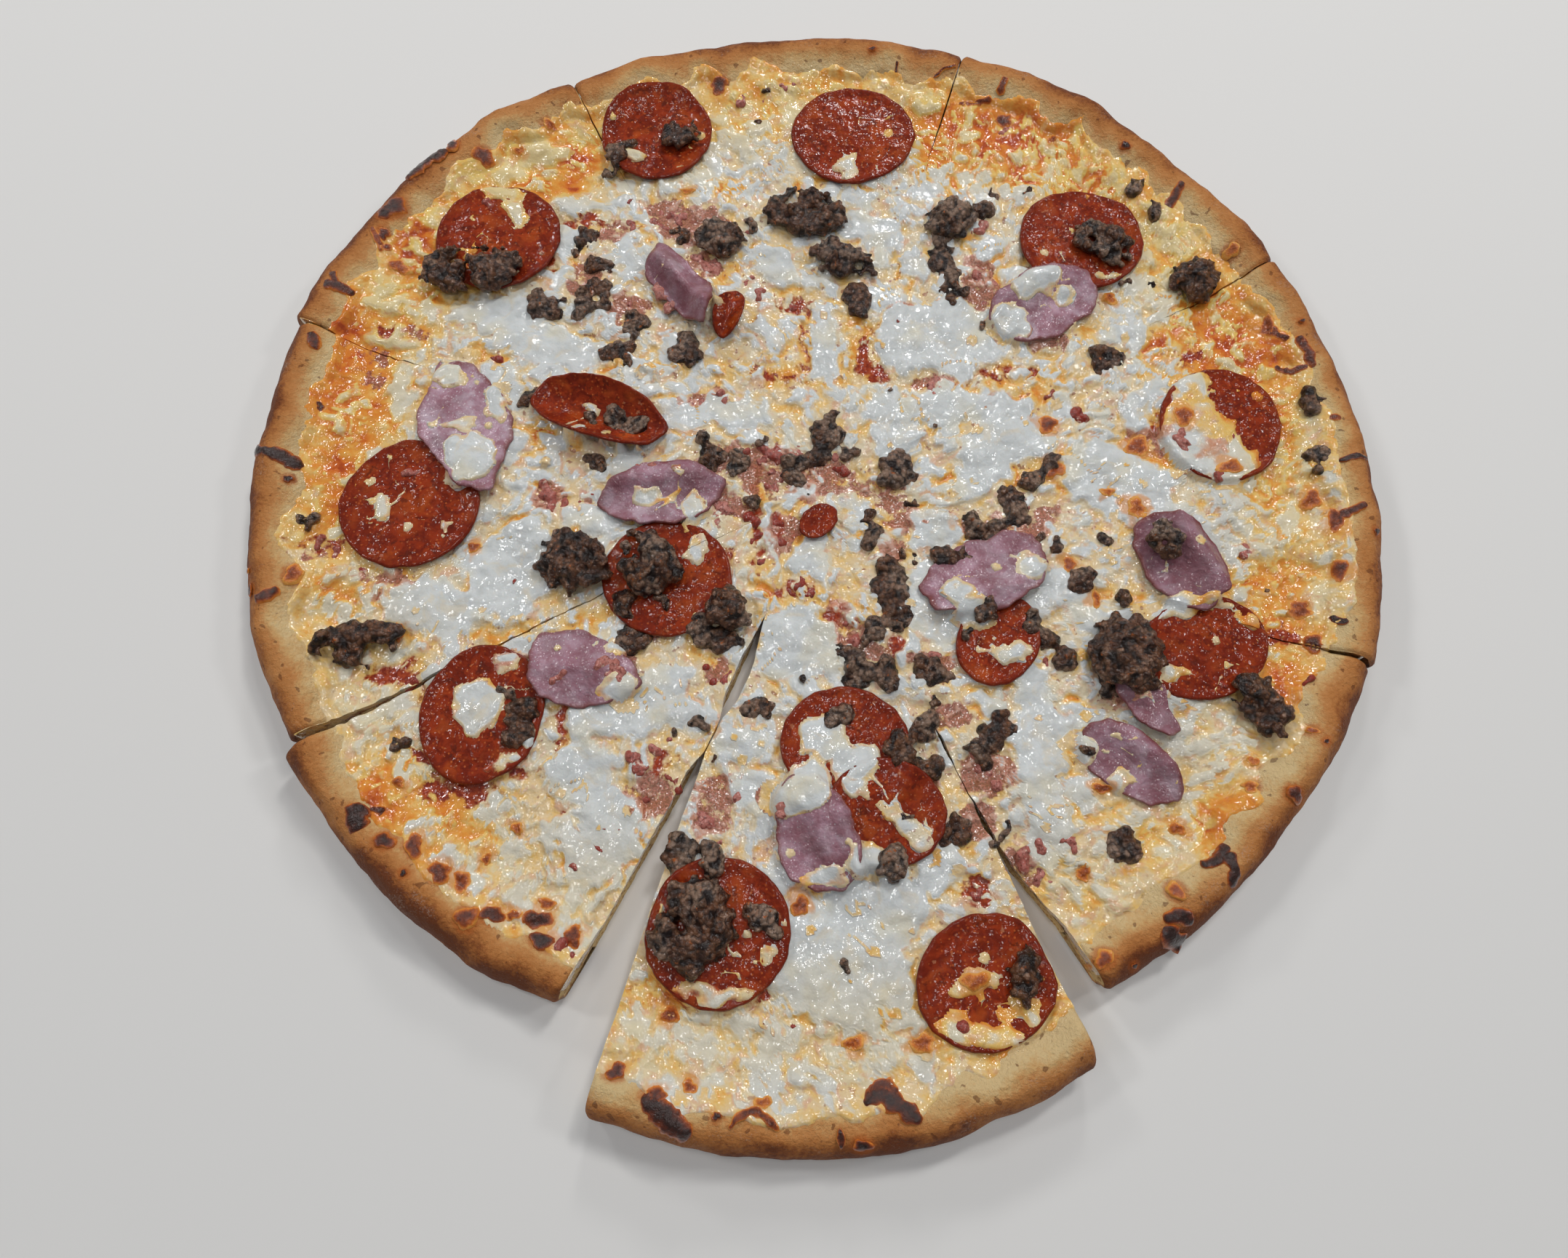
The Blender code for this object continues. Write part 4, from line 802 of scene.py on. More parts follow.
def cheese_fields(x, y, radius, foot, crust_height):
    """Height of the cheese and the masks that colour it."""
    out = radius - foot
    rim_near = eased(out, -40, -4)
    cover, arc = cheese_cover(x, y, rim_near)
    climb = eased(within(CLIMBS, x, y), -4, 4)
    milk = eased(cover, -0.75, 0.85) * (1 - 0.62 * eased(out, -4, 2) * (1 - climb))
    lumps, _ = cell_noise(*warped(x, y, 30, 0.6), 5.0, 33)
    level = cheese_level(x, y, out, milk, lumps)

    top = sample(FLAT_TOP, x, y)
    over = over_toppings(x, y)
    thick = np.where(over > 0, COVER_THICKNESS * eased(over, -0.6, 3.6) + 0.02, 4.0 * over)
    thick = np.clip(thick, -COVER_DROP, COVER_THICKNESS)
    thick += noises(x, y, (0.26, 3.4, 46), (0.10, 1.6, 56)) * (over > 0.4)
    drop = COVER_DROP * (1 - np.clip(sample(FLAT_WIDE, x, y) * 1.25, 0, 1)) ** 2
    beside = np.where(sample(FLAT_MASK, x, y) > 0.5, np.minimum(level, top - 0.4), level)
    covered = top + thick - drop
    height = np.maximum(beside, covered)
    on_topping = (0.16 + 0.84 * eased(over, 0.0, 2.6)) * (covered >= beside - 0.05) * (over > -0.3)

    film, reach = rim_film(x, y, out, climb)
    on_rim = (out > -5) & (crust_height + film > height)
    height = np.where(on_rim, crust_height + film, height)
    height = np.where(out > reach + 0.8, np.minimum(height, crust_height - 0.7), height)

    spot_x, spot_y = warped(x, y, 61)
    north = eased(y, -70, 70)
    tone = 0.04 + 0.48 * eased(within(OILY, spot_x, spot_y), -5, 6)
    tone += (0.12 + 0.18 * north) * rim_near + 0.34 * arc
    tone += noises(x, y, (0.24, 9, 63), (0.12, 3.4, 70)) - 0.22 * (0.5 - lumps)
    sauce = eased(within(SAUCE, spot_x, spot_y), -3.0, 2.5) + 0.40 * gradient_noise(x, y, 3, 66)
    meat = eased(within(MEATY, spot_x, spot_y), -2.5, 2.0) - 0.10 - 0.35 * rim_near
    meat += noises(x, y, (0.50, 4.5, 69), (0.20, 2.0, 71))
    on_topping *= 1 - 0.45 * eased(tone, 0.25, 0.60)
    masks = {
        "milk": np.clip(np.maximum(milk * (over < 0.2), on_topping), 0, 1),
        "oil": np.clip(tone, 0, 1.2),
        "sauce": np.clip(sauce, 0, 1),
        "meat": np.clip(meat, 0, 1),
        "rim": rim_near * (1 - 0.6 * climb) * (0.45 + 0.55 * north),
        "burn": eased(within(HALOS, spot_x, spot_y), -1.4, 1.0),
    }
    return height, masks


def surface_height(spots):
    """Height of what lies highest at each spot: crust, cheese, or a flat topping."""
    x, y = np.array([spot[:2] for spot in spots], float).T
    found, share = slice_at(x, y)
    radius = np.hypot(x, y)
    height = np.full(np.shape(x), DOUGH_TOP)
    for k, piece in enumerate(SLICES):
        here = found == k
        if here.any():
            crust = piece.crust_height(radius[here], share[here])
            cheese, _ = cheese_fields(x[here], y[here], radius[here], piece.foot(share[here]), crust)
            height[here] = np.maximum(cheese, crust)
    bare = sample(FLAT_MASK, x, y) > 0.5
    return np.where(bare, np.maximum(height, sample(FLAT_TOP, x, y)), height)


def set_masks(mesh, masks):
    for name, values in masks.items():
        layer = mesh.attributes.new(name, "FLOAT", "POINT")
        layer.data.foreach_set("value", np.asarray(values, np.float32))


def new_piece(name, points, faces, look, masks=None, node=None):
    """A mesh piece, given in mm from the crossing of the cuts, that rides on the pizza."""
    mesh = bpy.data.meshes.new(name)
    place = (np.asarray(points, float) + (*CUTS_CROSS_AT, 0.0)) * MM
    mesh.from_pydata(place.tolist(), [], faces)
    mesh.shade_smooth()
    if masks:
        set_masks(mesh, masks)
    mesh.materials.append(look)
    obj = bpy.data.objects.new(name, mesh)
    bpy.context.scene.collection.objects.link(obj)
    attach(obj, "root")
    if node:
        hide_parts(node)
    return obj


def band_grid(reach):
    """Rows of vertex places from the tip outwards: coarse across near the tip, finer further out."""
    rows = []
    for start, end, columns in CHEESE_BANDS:
        start = max(start, TIP_RADIUS)
        last = end is None
        far = float(np.mean(reach(np.linspace(0, 1, 9)))) if last else end
        count = max(2, int(round((far - start) / CHEESE_STEP)))
        shares = np.linspace(0, 1, columns + 1)
        for k in range(count + (1 if last else 0)):
            t = k / count
            if last:
                radius = start + (reach(shares) - start) * t
            else:
                radius = np.full(columns + 1, start + (far - start) * t)
            rows.append((radius, shares))
    return rows


def band_faces(rows, starts):
    """Faces between rows of places; a row may have twice as many steps as the one before."""
    faces = []
    for r in range(len(rows) - 1):
        a, b = starts[r], starts[r + 1]
        n, m = len(rows[r][0]) - 1, len(rows[r + 1][0]) - 1
        if n == m:
            faces += [(a + k, b + k, b + k + 1, a + k + 1) for k in range(n)]
        else:
            for k in range(n):
                faces += [(a + k, b + 2 * k, b + 2 * k + 1), (a + k, b + 2 * k + 1, a + k + 1)]
                faces.append((a + k + 1, b + 2 * k + 1, b + 2 * k + 2))
    return faces


def band_border(rows, starts):
    """The numbers of the places round the edge of the rows, in order."""
    last = len(rows) - 1
    border = starts[:-1]
    border += [starts[last] + k for k in range(1, len(rows[last][0]))]
    border += [starts[r + 1] - 1 for r in range(last - 1, -1, -1)]
    border += [starts[0] + k for k in range(len(rows[0][0]) - 2, 0, -1)]
    return np.array(border)


def cheese_piece(piece, look):
    """The melted cheese of a slice, closed by a wall round its edge and a plain underside."""
    rows = band_grid(lambda share: piece.foot(share) + FOOT_FILM)
    radius = np.concatenate([row[0] for row in rows])
    share = np.concatenate([row[1] for row in rows])
    x, y = piece.place(radius, share)
    height, masks = cheese_fields(x, y, radius, piece.foot(share), piece.crust_height(radius, share))
    starts = np.cumsum([0] + [len(row[0]) for row in rows]).tolist()
    faces = band_faces(rows, starts)
    border = band_border(rows, starts)

    points = np.column_stack([x, y, height])
    edge_x, edge_y, edge_z = points[border].T
    centre = np.array([x.mean(), y.mean()])
    toward = centre - points[border, :2]
    toward /= np.linalg.norm(toward, axis=1)[:, None]
    walls, belts = [], []
    for k in range(WALL_ROWS + 1):
        t = k / WALL_ROWS
        bulge = 0.4 + gradient_noise(edge_x, edge_y, 3.0, 70 + piece.seed + k)
        push = -0.55 * math.sin(math.pi * t) * bulge + 0.5 * t
        z = edge_z + (CHEESE_LOW - edge_z) * t
        walls.append(np.column_stack([edge_x + toward[:, 0] * push, edge_y + toward[:, 1] * push, z]))
        belts.append(len(x) + k * len(border))
    n = len(border)
    for a, b in zip(belts, belts[1:]):
        faces += [(a + k, a + (k + 1) % n, b + (k + 1) % n, b + k) for k in range(n)]
    points = np.vstack([points, *walls, [[*centre, CHEESE_LOW]]])
    hub, last = len(points) - 1, belts[-1]
    faces += [(last + k, last + (k + 1) % n, hub) for k in range(n)]

    down = np.repeat(np.arange(WALL_ROWS + 1) / WALL_ROWS, n)
    for name in masks:
        edge = np.tile(masks[name][border], WALL_ROWS + 1)
        if name == "milk":
            edge = edge * (1 - eased(down, 0.1, 0.7))
        if name == "sauce":
            edge = np.maximum(edge, eased(down, 0.35, 0.8))
        masks[name] = np.concatenate([masks[name], edge, [0.0]])
    return new_piece(
        "melted_cheese_" + piece.name, points, faces, look, masks, "cheese_" + piece.name
    )


# The crust

# How brown the rim is, from 0 to 1, at shares of the way in from its outer edge
BAKED_ACROSS = (0.0, 0.12, 0.32, 0.48, 0.64, 0.8, 1.0)
BAKED_SHARES = (1.0, 0.92, 0.76, 0.54, 0.26, 0.09, 0.03)
PALER_RIM = {"s": 0.22, "se": 0.12, "e": 0.12}
# Masks of the torn crumb at the cuts, and the height where the rim's cut face comes together
CUT_MASKS = {"bake": 0.1, "flour": 0.0, "wet": 0.0, "burn": 0.0, "crumb": 1.0}
SECTION_MIDDLE = 6.5


def crust_columns(piece):
    """Shares of the way across the slice where the rim has a row, and how far each is from a cut."""
    width = math.radians(float(piece.angle(160.0, 1.0) - piece.angle(160.0, 0.0))) * 160
    inner = np.linspace(3.0, width - 3.0, int(round((width - 6) / CRUST_STEP)))
    edge = np.array([0.0, 0.25, 0.6, 1.1, 1.9])
    places = np.concatenate([edge, inner, width - edge[::-1]])
    return places / width, np.minimum(places, width - places)


def crust_skin(piece, shares, from_cut):
    """Places of the rim's skin, one section after another, and their masks."""
    rows = len(RIM_CURVE)
    outer = piece.outer(shares)
    across = RIM_CURVE[:, 0][None, :]
    radius = outer[:, None] - across * (outer - piece.foot(shares))[:, None]
    height = RIM_CURVE[:, 1][None, :] * piece.swell(shares)[:, None]
    height[:, 0] = DOUGH_TOP

    flat = np.ones_like(radius)
    step = np.gradient(RIM_CURVE, axis=0) * (RIM_WIDTH, 1.0)
    normal = np.column_stack([-step[:, 1], -step[:, 0]])
    normal /= np.maximum(np.linalg.norm(normal, axis=1), 1e-9)[:, None]
    along = np.radians(piece.angle(150.0, shares, melted=False))[:, None] * 150 * flat
    lengths = np.linalg.norm(np.diff(RIM_CURVE * (RIM_WIDTH, 1.0), axis=0), axis=1)
    arc = np.concatenate([[0], np.cumsum(lengths)])[None, :] * flat
    bump = noises(along, arc, (0.45, 16, 81), (0.28, 6, 82), (0.14, 2.6, 83)) - 0.45
    bump = np.minimum(bump * eased(arc, 0, 4) * eased(arc, arc.max(), arc.max() - 3), 0.0)
    bump -= 1.0 * (1 - np.clip(from_cut / 1.3, 0, 1))[:, None] ** 2 * eased(arc, 1, 5)
    radius = radius + bump * normal[None, :, 0]
    height = np.maximum(height + bump * normal[None, :, 1], 0.0)
    x, y = piece.place(radius, shares[:, None], melted=False)

    bake = np.interp(across, BAKED_ACROSS, BAKED_SHARES) * flat
    bake -= PALER_RIM.get(piece.name, 0.0) * eased(across, 0.15, 0.40)
    under = np.arange(rows) - RIM_OUTERMOST
    bake = np.where(under[None, :] > 0, 0.95 - 0.25 * under / (rows - RIM_OUTERMOST), bake)
    bake += noises(along, arc, (0.26, 24, 85 + piece.seed), (0.12, 7, 86))
    flour = np.maximum(eased(under, -5, 4)[None, :] * flat, 0.42 * eased(across, 0.62, 0.40) * flat)
    flour *= 0.75 + 0.4 * gradient_noise(along, arc, 15, 87)
    wet = eased(across, 0.55, 0.95) * flat
    points = np.column_stack([x.ravel(), y.ravel(), height.ravel()])
    burn = eased(within(HALOS, points[:, 0], points[:, 1]), -2.0, 1.0) * (points[:, 2] > 8.0)
    masks = {
        "bake": bake.ravel(), "flour": flour.ravel(), "wet": wet.ravel(), "burn": burn,
        "crumb": np.zeros(len(points)),
    }
    return points, masks


class Dough:
    """The mesh of a slice's crust while it is put together."""

    def __init__(self, points, masks):
        self.blocks = [points]
        self.masks = {name: [values] for name, values in masks.items()}
        self.faces = []

    def add(self, block):
        """Adds places of torn crumb and returns their numbers."""
        start = sum(len(b) for b in self.blocks)
        self.blocks.append(np.asarray(block, float))
        for name, value in CUT_MASKS.items():
            self.masks[name].append(np.full(len(block), value))
        return list(range(start, start + len(block)))


def fill_section(dough, is_open, ring, middle, out):
    """Closes the rim's section at a cut by rings that shrink to its middle."""
    n = len(ring)
    section = dough.blocks[0][ring]
    previous = ring
    steps = 7 if is_open else 1
    for s in range(1, steps):
        block = middle + (section - middle) * (1 - s / steps)
        rough = 0.35 * gradient_noise(block[:, 0] + block[:, 1], block[:, 2], 2.2, 91) - 0.25
        block[:, :2] += out * rough[:, None]
        index = dough.add(block)
        dough.faces += [
            (previous[k], previous[(k + 1) % n], index[(k + 1) % n], index[k]) for k in range(n)
        ]
        previous = index
    hub = dough.add([middle])[0]
    dough.faces += [(previous[k], previous[(k + 1) % n], hub) for k in range(n)]


def fill_wedge(dough, piece, side, foot, out):
    """The cut through the flat dough, in rows from the tip to the rim; returns their numbers."""
    levels, count = (5, 84) if piece.open[side] else (2, 6)
    z = np.linspace(DOUGH_TOP, 0.0, levels)
    grid = []
    for radius in np.linspace(TIP_RADIUS + 1.6, foot, count):
        x, y = piece.place(np.full(levels, radius), np.full(levels, float(side)), melted=False)
        block = np.column_stack([x, y, z])
        if piece.open[side] and radius < foot:
            rough = 0.4 * gradient_noise(np.full(levels, radius), z, 2.4, 93) - 0.3
            block[:, :2] += out * (rough * np.sin(np.pi * (0.15 + 0.7 * z / DOUGH_TOP)))[:, None]
        grid.append(dough.add(block))
    for a, b in zip(grid, grid[1:]):
        dough.faces += [(a[k], b[k], b[k + 1], a[k + 1]) for k in range(levels - 1)]
    return grid


def crust_piece(piece, look):
    """The dough of a slice: its rim, its two cut faces, and the flat parts above and below."""
    shares, from_cut = crust_columns(piece)
    rows, columns = len(RIM_CURVE), len(shares)
    dough = Dough(*crust_skin(piece, shares, from_cut))
    for c in range(columns - 1):
        a, b = c * rows, (c + 1) * rows
        dough.faces += [(a + k, a + k + 1, b + k + 1, b + k) for k in range(rows - 1)]

    grids = []
    for side, column in ((0, 0), (1, columns - 1)):
        outer, foot = piece.outer(shares)[column], piece.foot(shares)[column]
        centre = piece.place(outer - 0.5 * (outer - foot), float(side), melted=False)
        out = np.array(piece.place(150.0, float(side) + (0.01 if side else -0.01), melted=False))
        out -= np.array(piece.place(150.0, float(side), melted=False))
        out /= np.linalg.norm(out)
        ring = list(range(column * rows, (column + 1) * rows))
        fill_section(dough, piece.open[side], ring, np.array([*centre, SECTION_MIDDLE]), out)
        grids.append(fill_wedge(dough, piece, side, float(foot), out))

    right, left = grids
    tops = [row[0] for row in right] + [c * rows for c in range(1, columns - 1)]
    dough.faces.append(tuple(tops + [row[0] for row in left][::-1]))
    lows = [row[-1] for row in right] + [c * rows + rows - 1 for c in range(columns)]
    lows += [row[-1] for row in left][::-1]
    dough.faces.append(tuple(lows[::-1]))
    dough.faces.append((right[0][0], left[0][0], left[0][-1], right[0][-1]))
    masks = {name: np.concatenate(values) for name, values in dough.masks.items()}
    node = "crust_" + piece.name
    return new_piece(node + "_baked", np.vstack(dough.blocks), dough.faces, look, masks, node)


# Toppings that lie flat

def rays_to_edge(mask, centre, count):
    """Distance from the centre to the edge of a mask, for evenly spaced directions."""
    turns = np.arange(count) * math.tau / count
    reach = np.arange(0, 45, 0.2)
    x = centre[0] + reach[None, :] * np.cos(turns)[:, None]
    y = centre[1] + reach[None, :] * np.sin(turns)[:, None]
    outside = sample(mask, x, y) < 0.5
    first = np.argmax(outside, axis=1)
    distance = reach[first]
    smooth = (np.roll(distance, 1) + 2 * distance + np.roll(distance, -1)) / 4
    return turns, smooth


def belt(a, b, n):
    """Faces between two rings of n places, which start at places a and b."""
    return [(a + k, b + k, b + (k + 1) % n, a + (k + 1) % n) for k in range(n)]


def around(indices):
    """The part of a map's axis that some places on it take up, with some room."""
    return slice(max(indices.min() - MAP_ROOM, 0), indices.max() + MAP_ROOM)


def sheet_piece(node, n, ring_step, look, detail, torn):
    """A thin slice over its solid: upper side with fine detail, rounded edge, plainer underside."""
    top, low = height_maps([node])
    known = np.isfinite(top)
    rows, columns = np.nonzero(known)
    centre = (MAP_X[0] + rows.mean() * MAP_STEP, MAP_Y[0] + columns.mean() * MAP_STEP)
    window = (around(rows), around(columns))
    mask, upper, lower = np.zeros((3, *MAP_SHAPE))
    mask[window] = blurred(known[window].astype(float), 0.5)
    upper[window] = spread(top[window], 0.8)
    lower[window] = spread(low[window], 0.8)
    turns, reach = rays_to_edge(mask, centre, n)
    edge_x, edge_y = reach * np.cos(turns), reach * np.sin(turns)
    reach *= 1 + torn * (noises(edge_x, edge_y, (1.0, 5.0, rows[0]), (0.5, 2.2, rows[0] + 1)) - 0.5)

    count = max(4, int(round(reach.mean() / ring_step)))
    outs = np.concatenate([np.linspace(0, 1, count + 1)[1:-1], [1 - 0.5 / count, 1.0]])
    dx = outs[:, None] * (reach * np.cos(turns))[None, :]
    dy = outs[:, None] * (reach * np.sin(turns))[None, :]
    x, y = centre[0] + dx, centre[1] + dy
    out = outs[:, None] + 0 * x
    inset = np.minimum(1, 1 - 0.4 * (out > 0.97) / np.maximum(reach, 1))
    inset_x, inset_y = centre[0] + dx * inset, centre[1] + dy * inset
    z_low = sample(lower, inset_x, inset_y)
    lift, masks = detail(dx, dy, out, turns[None, :] + 0 * x)
    z_top = sample(upper, inset_x, inset_y) + lift
    thickness = np.maximum(z_top - z_low, 0.6)
    z_top = np.where(out > 0.999, z_low + 0.62 * thickness, z_top)

    middle_x, middle_y = np.array([centre[0]]), np.array([centre[1]])
    none = np.zeros(1)
    middle_lift, middle_masks = detail(none, none, none, none)
    points = [[*centre, float(sample(upper, middle_x, middle_y)[0] + middle_lift[0])]]
    points += np.column_stack([x.ravel(), y.ravel(), z_top.ravel()]).tolist()
    rings = len(outs)
    faces = [(0, 1 + k, 1 + (k + 1) % n) for k in range(n)]
    for r in range(rings - 1):
        faces += belt(1 + r * n, 1 + (r + 1) * n, n)
    previous = 1 + (rings - 1) * n
    under_rings = [rings - 2, rings // 2, rings // 5]
    for r in under_rings:
        start = len(points)
        points += np.column_stack([x[r], y[r], z_low[r]]).tolist()
        faces += belt(previous, start, n)
        previous = start
    hub = len(points)
    points.append([*centre, float(sample(lower, middle_x, middle_y)[0])])
    faces += [(previous + (k + 1) % n, previous + k, hub) for k in range(n)]
    all_masks = {}
    for key, values in masks.items():
        under = np.concatenate([np.asarray(values[r], float) for r in under_rings])
        all_masks[key] = np.concatenate([middle_masks[key], values.ravel(), under, middle_masks[key]])
    return new_piece(node + "_slice", points, faces, look, all_masks, node)


def pepperoni_detail(seed):
    """The relief and masks of a slice of pepperoni, which curls up a little at its edge."""
    def detail(x, y, out, turn):
        lift = noises(x, y, (0.16, 5.5, seed), (0.10, 2.2, seed + 1), (0.05, 1.2, seed + 2))
        brim = eased(out, 0.80, 0.95)
        lift += 0.25 * brim - 0.18 * eased(out, 0.55, 0.8) * (1 - brim)
        lift += 0.15 * np.sin(5 * turn + seed) * out ** 2
        lift = np.where(np.hypot(x, y) < 0.01, 0, lift)
        dark = 0.5 + 0.5 * gradient_noise(x, y, 8, seed + 5)
        return lift, {"edge": eased(out, 0.80, 1.0), "dark": np.clip(dark, 0, 1)}
    return detail


def ham_detail(seed, depth):
    """The relief and masks of a slice of ham; depth makes it darker."""
    def detail(x, y, out, turn):
        lift = noises(x, y, (0.30, 7, seed), (0.14, 2.8, seed + 1), (0.06, 1.3, seed + 2))
        lift += 0.45 * eased(out, 0.75, 1.0) * (0.4 + gradient_noise(x, y, 6, seed + 3))
        dark = 0.45 + depth + noises(x, y, (0.6, 7, seed + 5), (0.25, 2.6, seed + 6))
        edge = eased(out + 0.06 * gradient_noise(x, y, 4, seed + 7), 0.88, 1.0)
        return lift, {"edge": edge, "dark": np.clip(dark, 0, 1)}
    return detail


# Crumbles of browned minced meat

# Size of the grid, in mm, on which lumps are merged
CRUMBLE_VOXEL = 0.62
SMALL_CRUMBLE_VOXEL = 0.60
BIT_VOXEL = 0.55


def clump_mesh(name, lumps, voxel, seed):
    """Merges rough balls, given as (x, y, z, radius), into one closed granular mesh."""
    shape = bmesh.new()
    draw = random.Random(seed)
    for x, y, z, radius in lumps:
        made = bmesh.ops.create_icosphere(shape, subdivisions=1, radius=radius)
        stretch = (draw.uniform(0.7, 1.4), draw.uniform(0.7, 1.4), draw.uniform(0.7, 1.1))
        turn = Matrix.Rotation(draw.uniform(0, math.tau), 3, "Z")
        for vertex in made["verts"]:
            co = vertex.co * draw.uniform(0.82, 1.18)
            co.x *= stretch[0]
            co.y *= stretch[1]
            co.z *= stretch[2]
            co = turn @ co
            vertex.co = (co.x + x, co.y + y, co.z + z)
    mesh = bpy.data.meshes.new(name)
    shape.to_mesh(mesh)
    shape.free()
    obj = bpy.data.objects.new(name, mesh)
    bpy.context.scene.collection.objects.link(obj)
    remesh = obj.modifiers.new("merge", "REMESH")
    remesh.mode = "VOXEL"
    remesh.voxel_size = voxel
    bpy.context.view_layer.update()
    graph = bpy.context.evaluated_depsgraph_get()
    merged = bpy.data.meshes.new_from_object(obj.evaluated_get(graph))
    bpy.data.objects.remove(obj, do_unlink=True)
    points = vectors(merged.vertices, "co")
    normals = vectors(merged.vertices, "normal")
    faces = [tuple(polygon.vertices) for polygon in merged.polygons]
    bpy.data.meshes.remove(merged)
    return points, normals, faces


def grained(points, normals, seed, amount=1.0):
    """The surface moved in and out by lumps, crevices and grains of minced meat, and how deep it lies,
    as a mask of painted shade.
    """
    middle = solid_noise(points, 2.3, seed + 3)
    clefts = np.abs(solid_noise(points, 3.2, seed)) - 0.25
    cells = solid_cells(points, 2.6, seed + 4) - 0.45
    push = 0.35 * middle + 0.9 * np.minimum(clefts, 0.1) - 0.95 * cells
    push += solid_noises(points, (0.55, 5.0, seed + 2), (0.20, 0.9, seed + 1))
    # Painted shade: how deep each place lies, high in the crevices and between grains, low on the
    # swellings.
    low = 0.42 - 0.8 * clefts - 0.25 * middle + 0.95 * cells
    return points + normals * (amount * push)[:, None], np.clip(low, 0, 1)


def crumble_lumps(top, low, seed):
    """Balls that fill a crumble's solid, smaller near its edge, with hollows between heaps."""
    solid = np.isfinite(top)
    rows, columns = np.nonzero(solid)
    draw = random.Random(seed)
    area = len(rows) * MAP_STEP ** 2
    start = (rows.min() - MAP_ROOM, columns.min() - MAP_ROOM)
    window = (slice(start[0], rows.max() + MAP_ROOM), slice(start[1], columns.max() + MAP_ROOM))
    inside = blurred(solid[window].astype(float), 1.2)[rows - start[0], columns - start[1]]
    x, y = MAP_X[0] + rows * MAP_STEP, MAP_Y[0] + columns * MAP_STEP
    base = low[rows, columns]
    room = np.maximum(top[rows, columns] - base, 1.5)
    hollow = gradient_noise(x, y, 7.0, 700 + seed)
    parted = within(CRUMBLE_PARTINGS, x, y) > 0
    lumps = []
    for k in range(0, len(rows), 9):
        if inside[k] > 0.84 and hollow[k] > -0.25 and not parted[k]:
            share = 0.36 + 0.12 * float(np.clip(hollow[k], 0, 1))
            lumps.append((x[k], y[k], base[k] + share * room[k], share * room[k]))
    for _ in range(int(area / 5.0)):
        k = draw.randrange(len(rows))
        radius = min(draw.uniform(0.9, 3.2), 0.55 * room[k])
        if inside[k] < 0.8:
            radius = min(radius, 1.9)
        if parted[k] or (hollow[k] < -0.35 and draw.random() < 0.7):
            continue
        z = base[k] + 0.5 * radius + (room[k] - 1.3 * radius) * draw.uniform(0.1, 1.0)
        lumps.append((x[k], y[k], z, radius))
    return lumps


def crumble_piece(node, look):
    """A large crumble of minced meat in the place of its solid."""
    top, low = height_maps([node])
    seed = int(node.split("_")[1])
    lumps = crumble_lumps(top, low, seed)
    points, normals, faces = clump_mesh(node + "_lumps", lumps, CRUMBLE_VOXEL, seed)
    points, cleft_shade = grained(points, normals, seed)
    limit = sample(spread(top, 1.5), points[:, 0], points[:, 1]) + 0.6
    points[:, 2] = np.minimum(points[:, 2], limit)
    fat_and_sheen = 0.5 + 0.5 * solid_noise(points, 7.0, seed + 9) + FAT_AND_SHEEN.get(node, 0.0)
    masks = {"cleft_shade": cleft_shade, "fat_and_sheen": np.clip(fat_and_sheen, 0, 1)}
    return new_piece("minced_" + node, points, faces, look, masks, node)


def small_crumbles(look):
    """Every crumble that is sunk in the cheese or lies on the rim, as one piece."""
    draw = random.Random(5)
    lumps = []
    for (x, y, size), base in zip(SMALL_CRUMBLES, surface_height(SMALL_CRUMBLES)):
        size *= CRUMBLE_GROWTH
        stretch, turn = draw.uniform(0.65, 1.0), draw.uniform(0, math.pi)
        for _ in range(max(2, int(size ** 2 / 11))):
            away, angle = 0.34 * size * math.sqrt(draw.random()), draw.uniform(0, math.tau)
            radius = draw.uniform(0.5, 1.0) * min(0.30 * size, 2.9)
            rise = draw.uniform(0.0, 0.8) * min(0.25 * size, 1.9) * (1 - away / size)
            place = turned(x, y, away * math.cos(angle), stretch * away * math.sin(angle), turn)
            lumps.append((*place, base - 0.3 * radius + rise, radius))
    points, normals, faces = clump_mesh("small_lumps", lumps, SMALL_CRUMBLE_VOXEL, 6)
    points, cleft_shade = grained(points, normals, 77, 0.7)
    fat_and_sheen = 0.62 + 0.5 * solid_noise(points, 12.0, 78)
    masks = {"cleft_shade": cleft_shade, "fat_and_sheen": np.clip(fat_and_sheen, 0, 1)}
    new_piece("small_crumbles", points, faces, look, masks, None)


def meat_bits(look):
    """Torn bits of ham and pepperoni that lie in the cheese, as one piece."""
    draw = random.Random(9)
    lumps = []
    for (x, y, size, _), base in zip(BITS, surface_height(BITS)):
        turn = draw.uniform(0, math.pi)
        for _ in range(max(2, int(size / 1.1))):
            along, aside = draw.uniform(-0.42, 0.42) * size, draw.uniform(-0.22, 0.22) * size
            radius = draw.uniform(0.6, 1.2) * min(0.25 * size, 1.8)
            z = base - 0.5 * radius + draw.uniform(-0.3, 0.3)
            lumps.append((*turned(x, y, along, aside, turn), z, radius))
    points, normals, faces = clump_mesh("bit_lumps", lumps, BIT_VOXEL, 10)
    push = solid_noises(points, (0.5, 3.0, 81), (0.25, 1.6, 79), (0.1, 0.8, 80))
    points = points + normals * push[:, None]
    red = np.zeros(len(points))
    nearest = np.full(len(points), 1e9)
    for x, y, _, redness in BITS:
        away = (points[:, 0] - x) ** 2 + (points[:, 1] - y) ** 2
        red = np.where(away < nearest, redness, red)
        nearest = np.minimum(nearest, away)
    new_piece("meat_bits", points, faces, look, {"red": red}, None)


# Browned blisters and burnt drips

# Places round a blister, and where its rings lie between its centre and its edge
BLISTER_SPOKES = 18
BLISTER_RINGS = (0.0, 0.3, 0.55, 0.78, 0.92, 1.0, 1.12)
# Places across a drip, as shares of the way from its middle to its edge
DRIP_ASIDES = (-1.15, -1.0, -0.8, -0.4, 0.0, 0.4, 0.8, 1.0, 1.15)


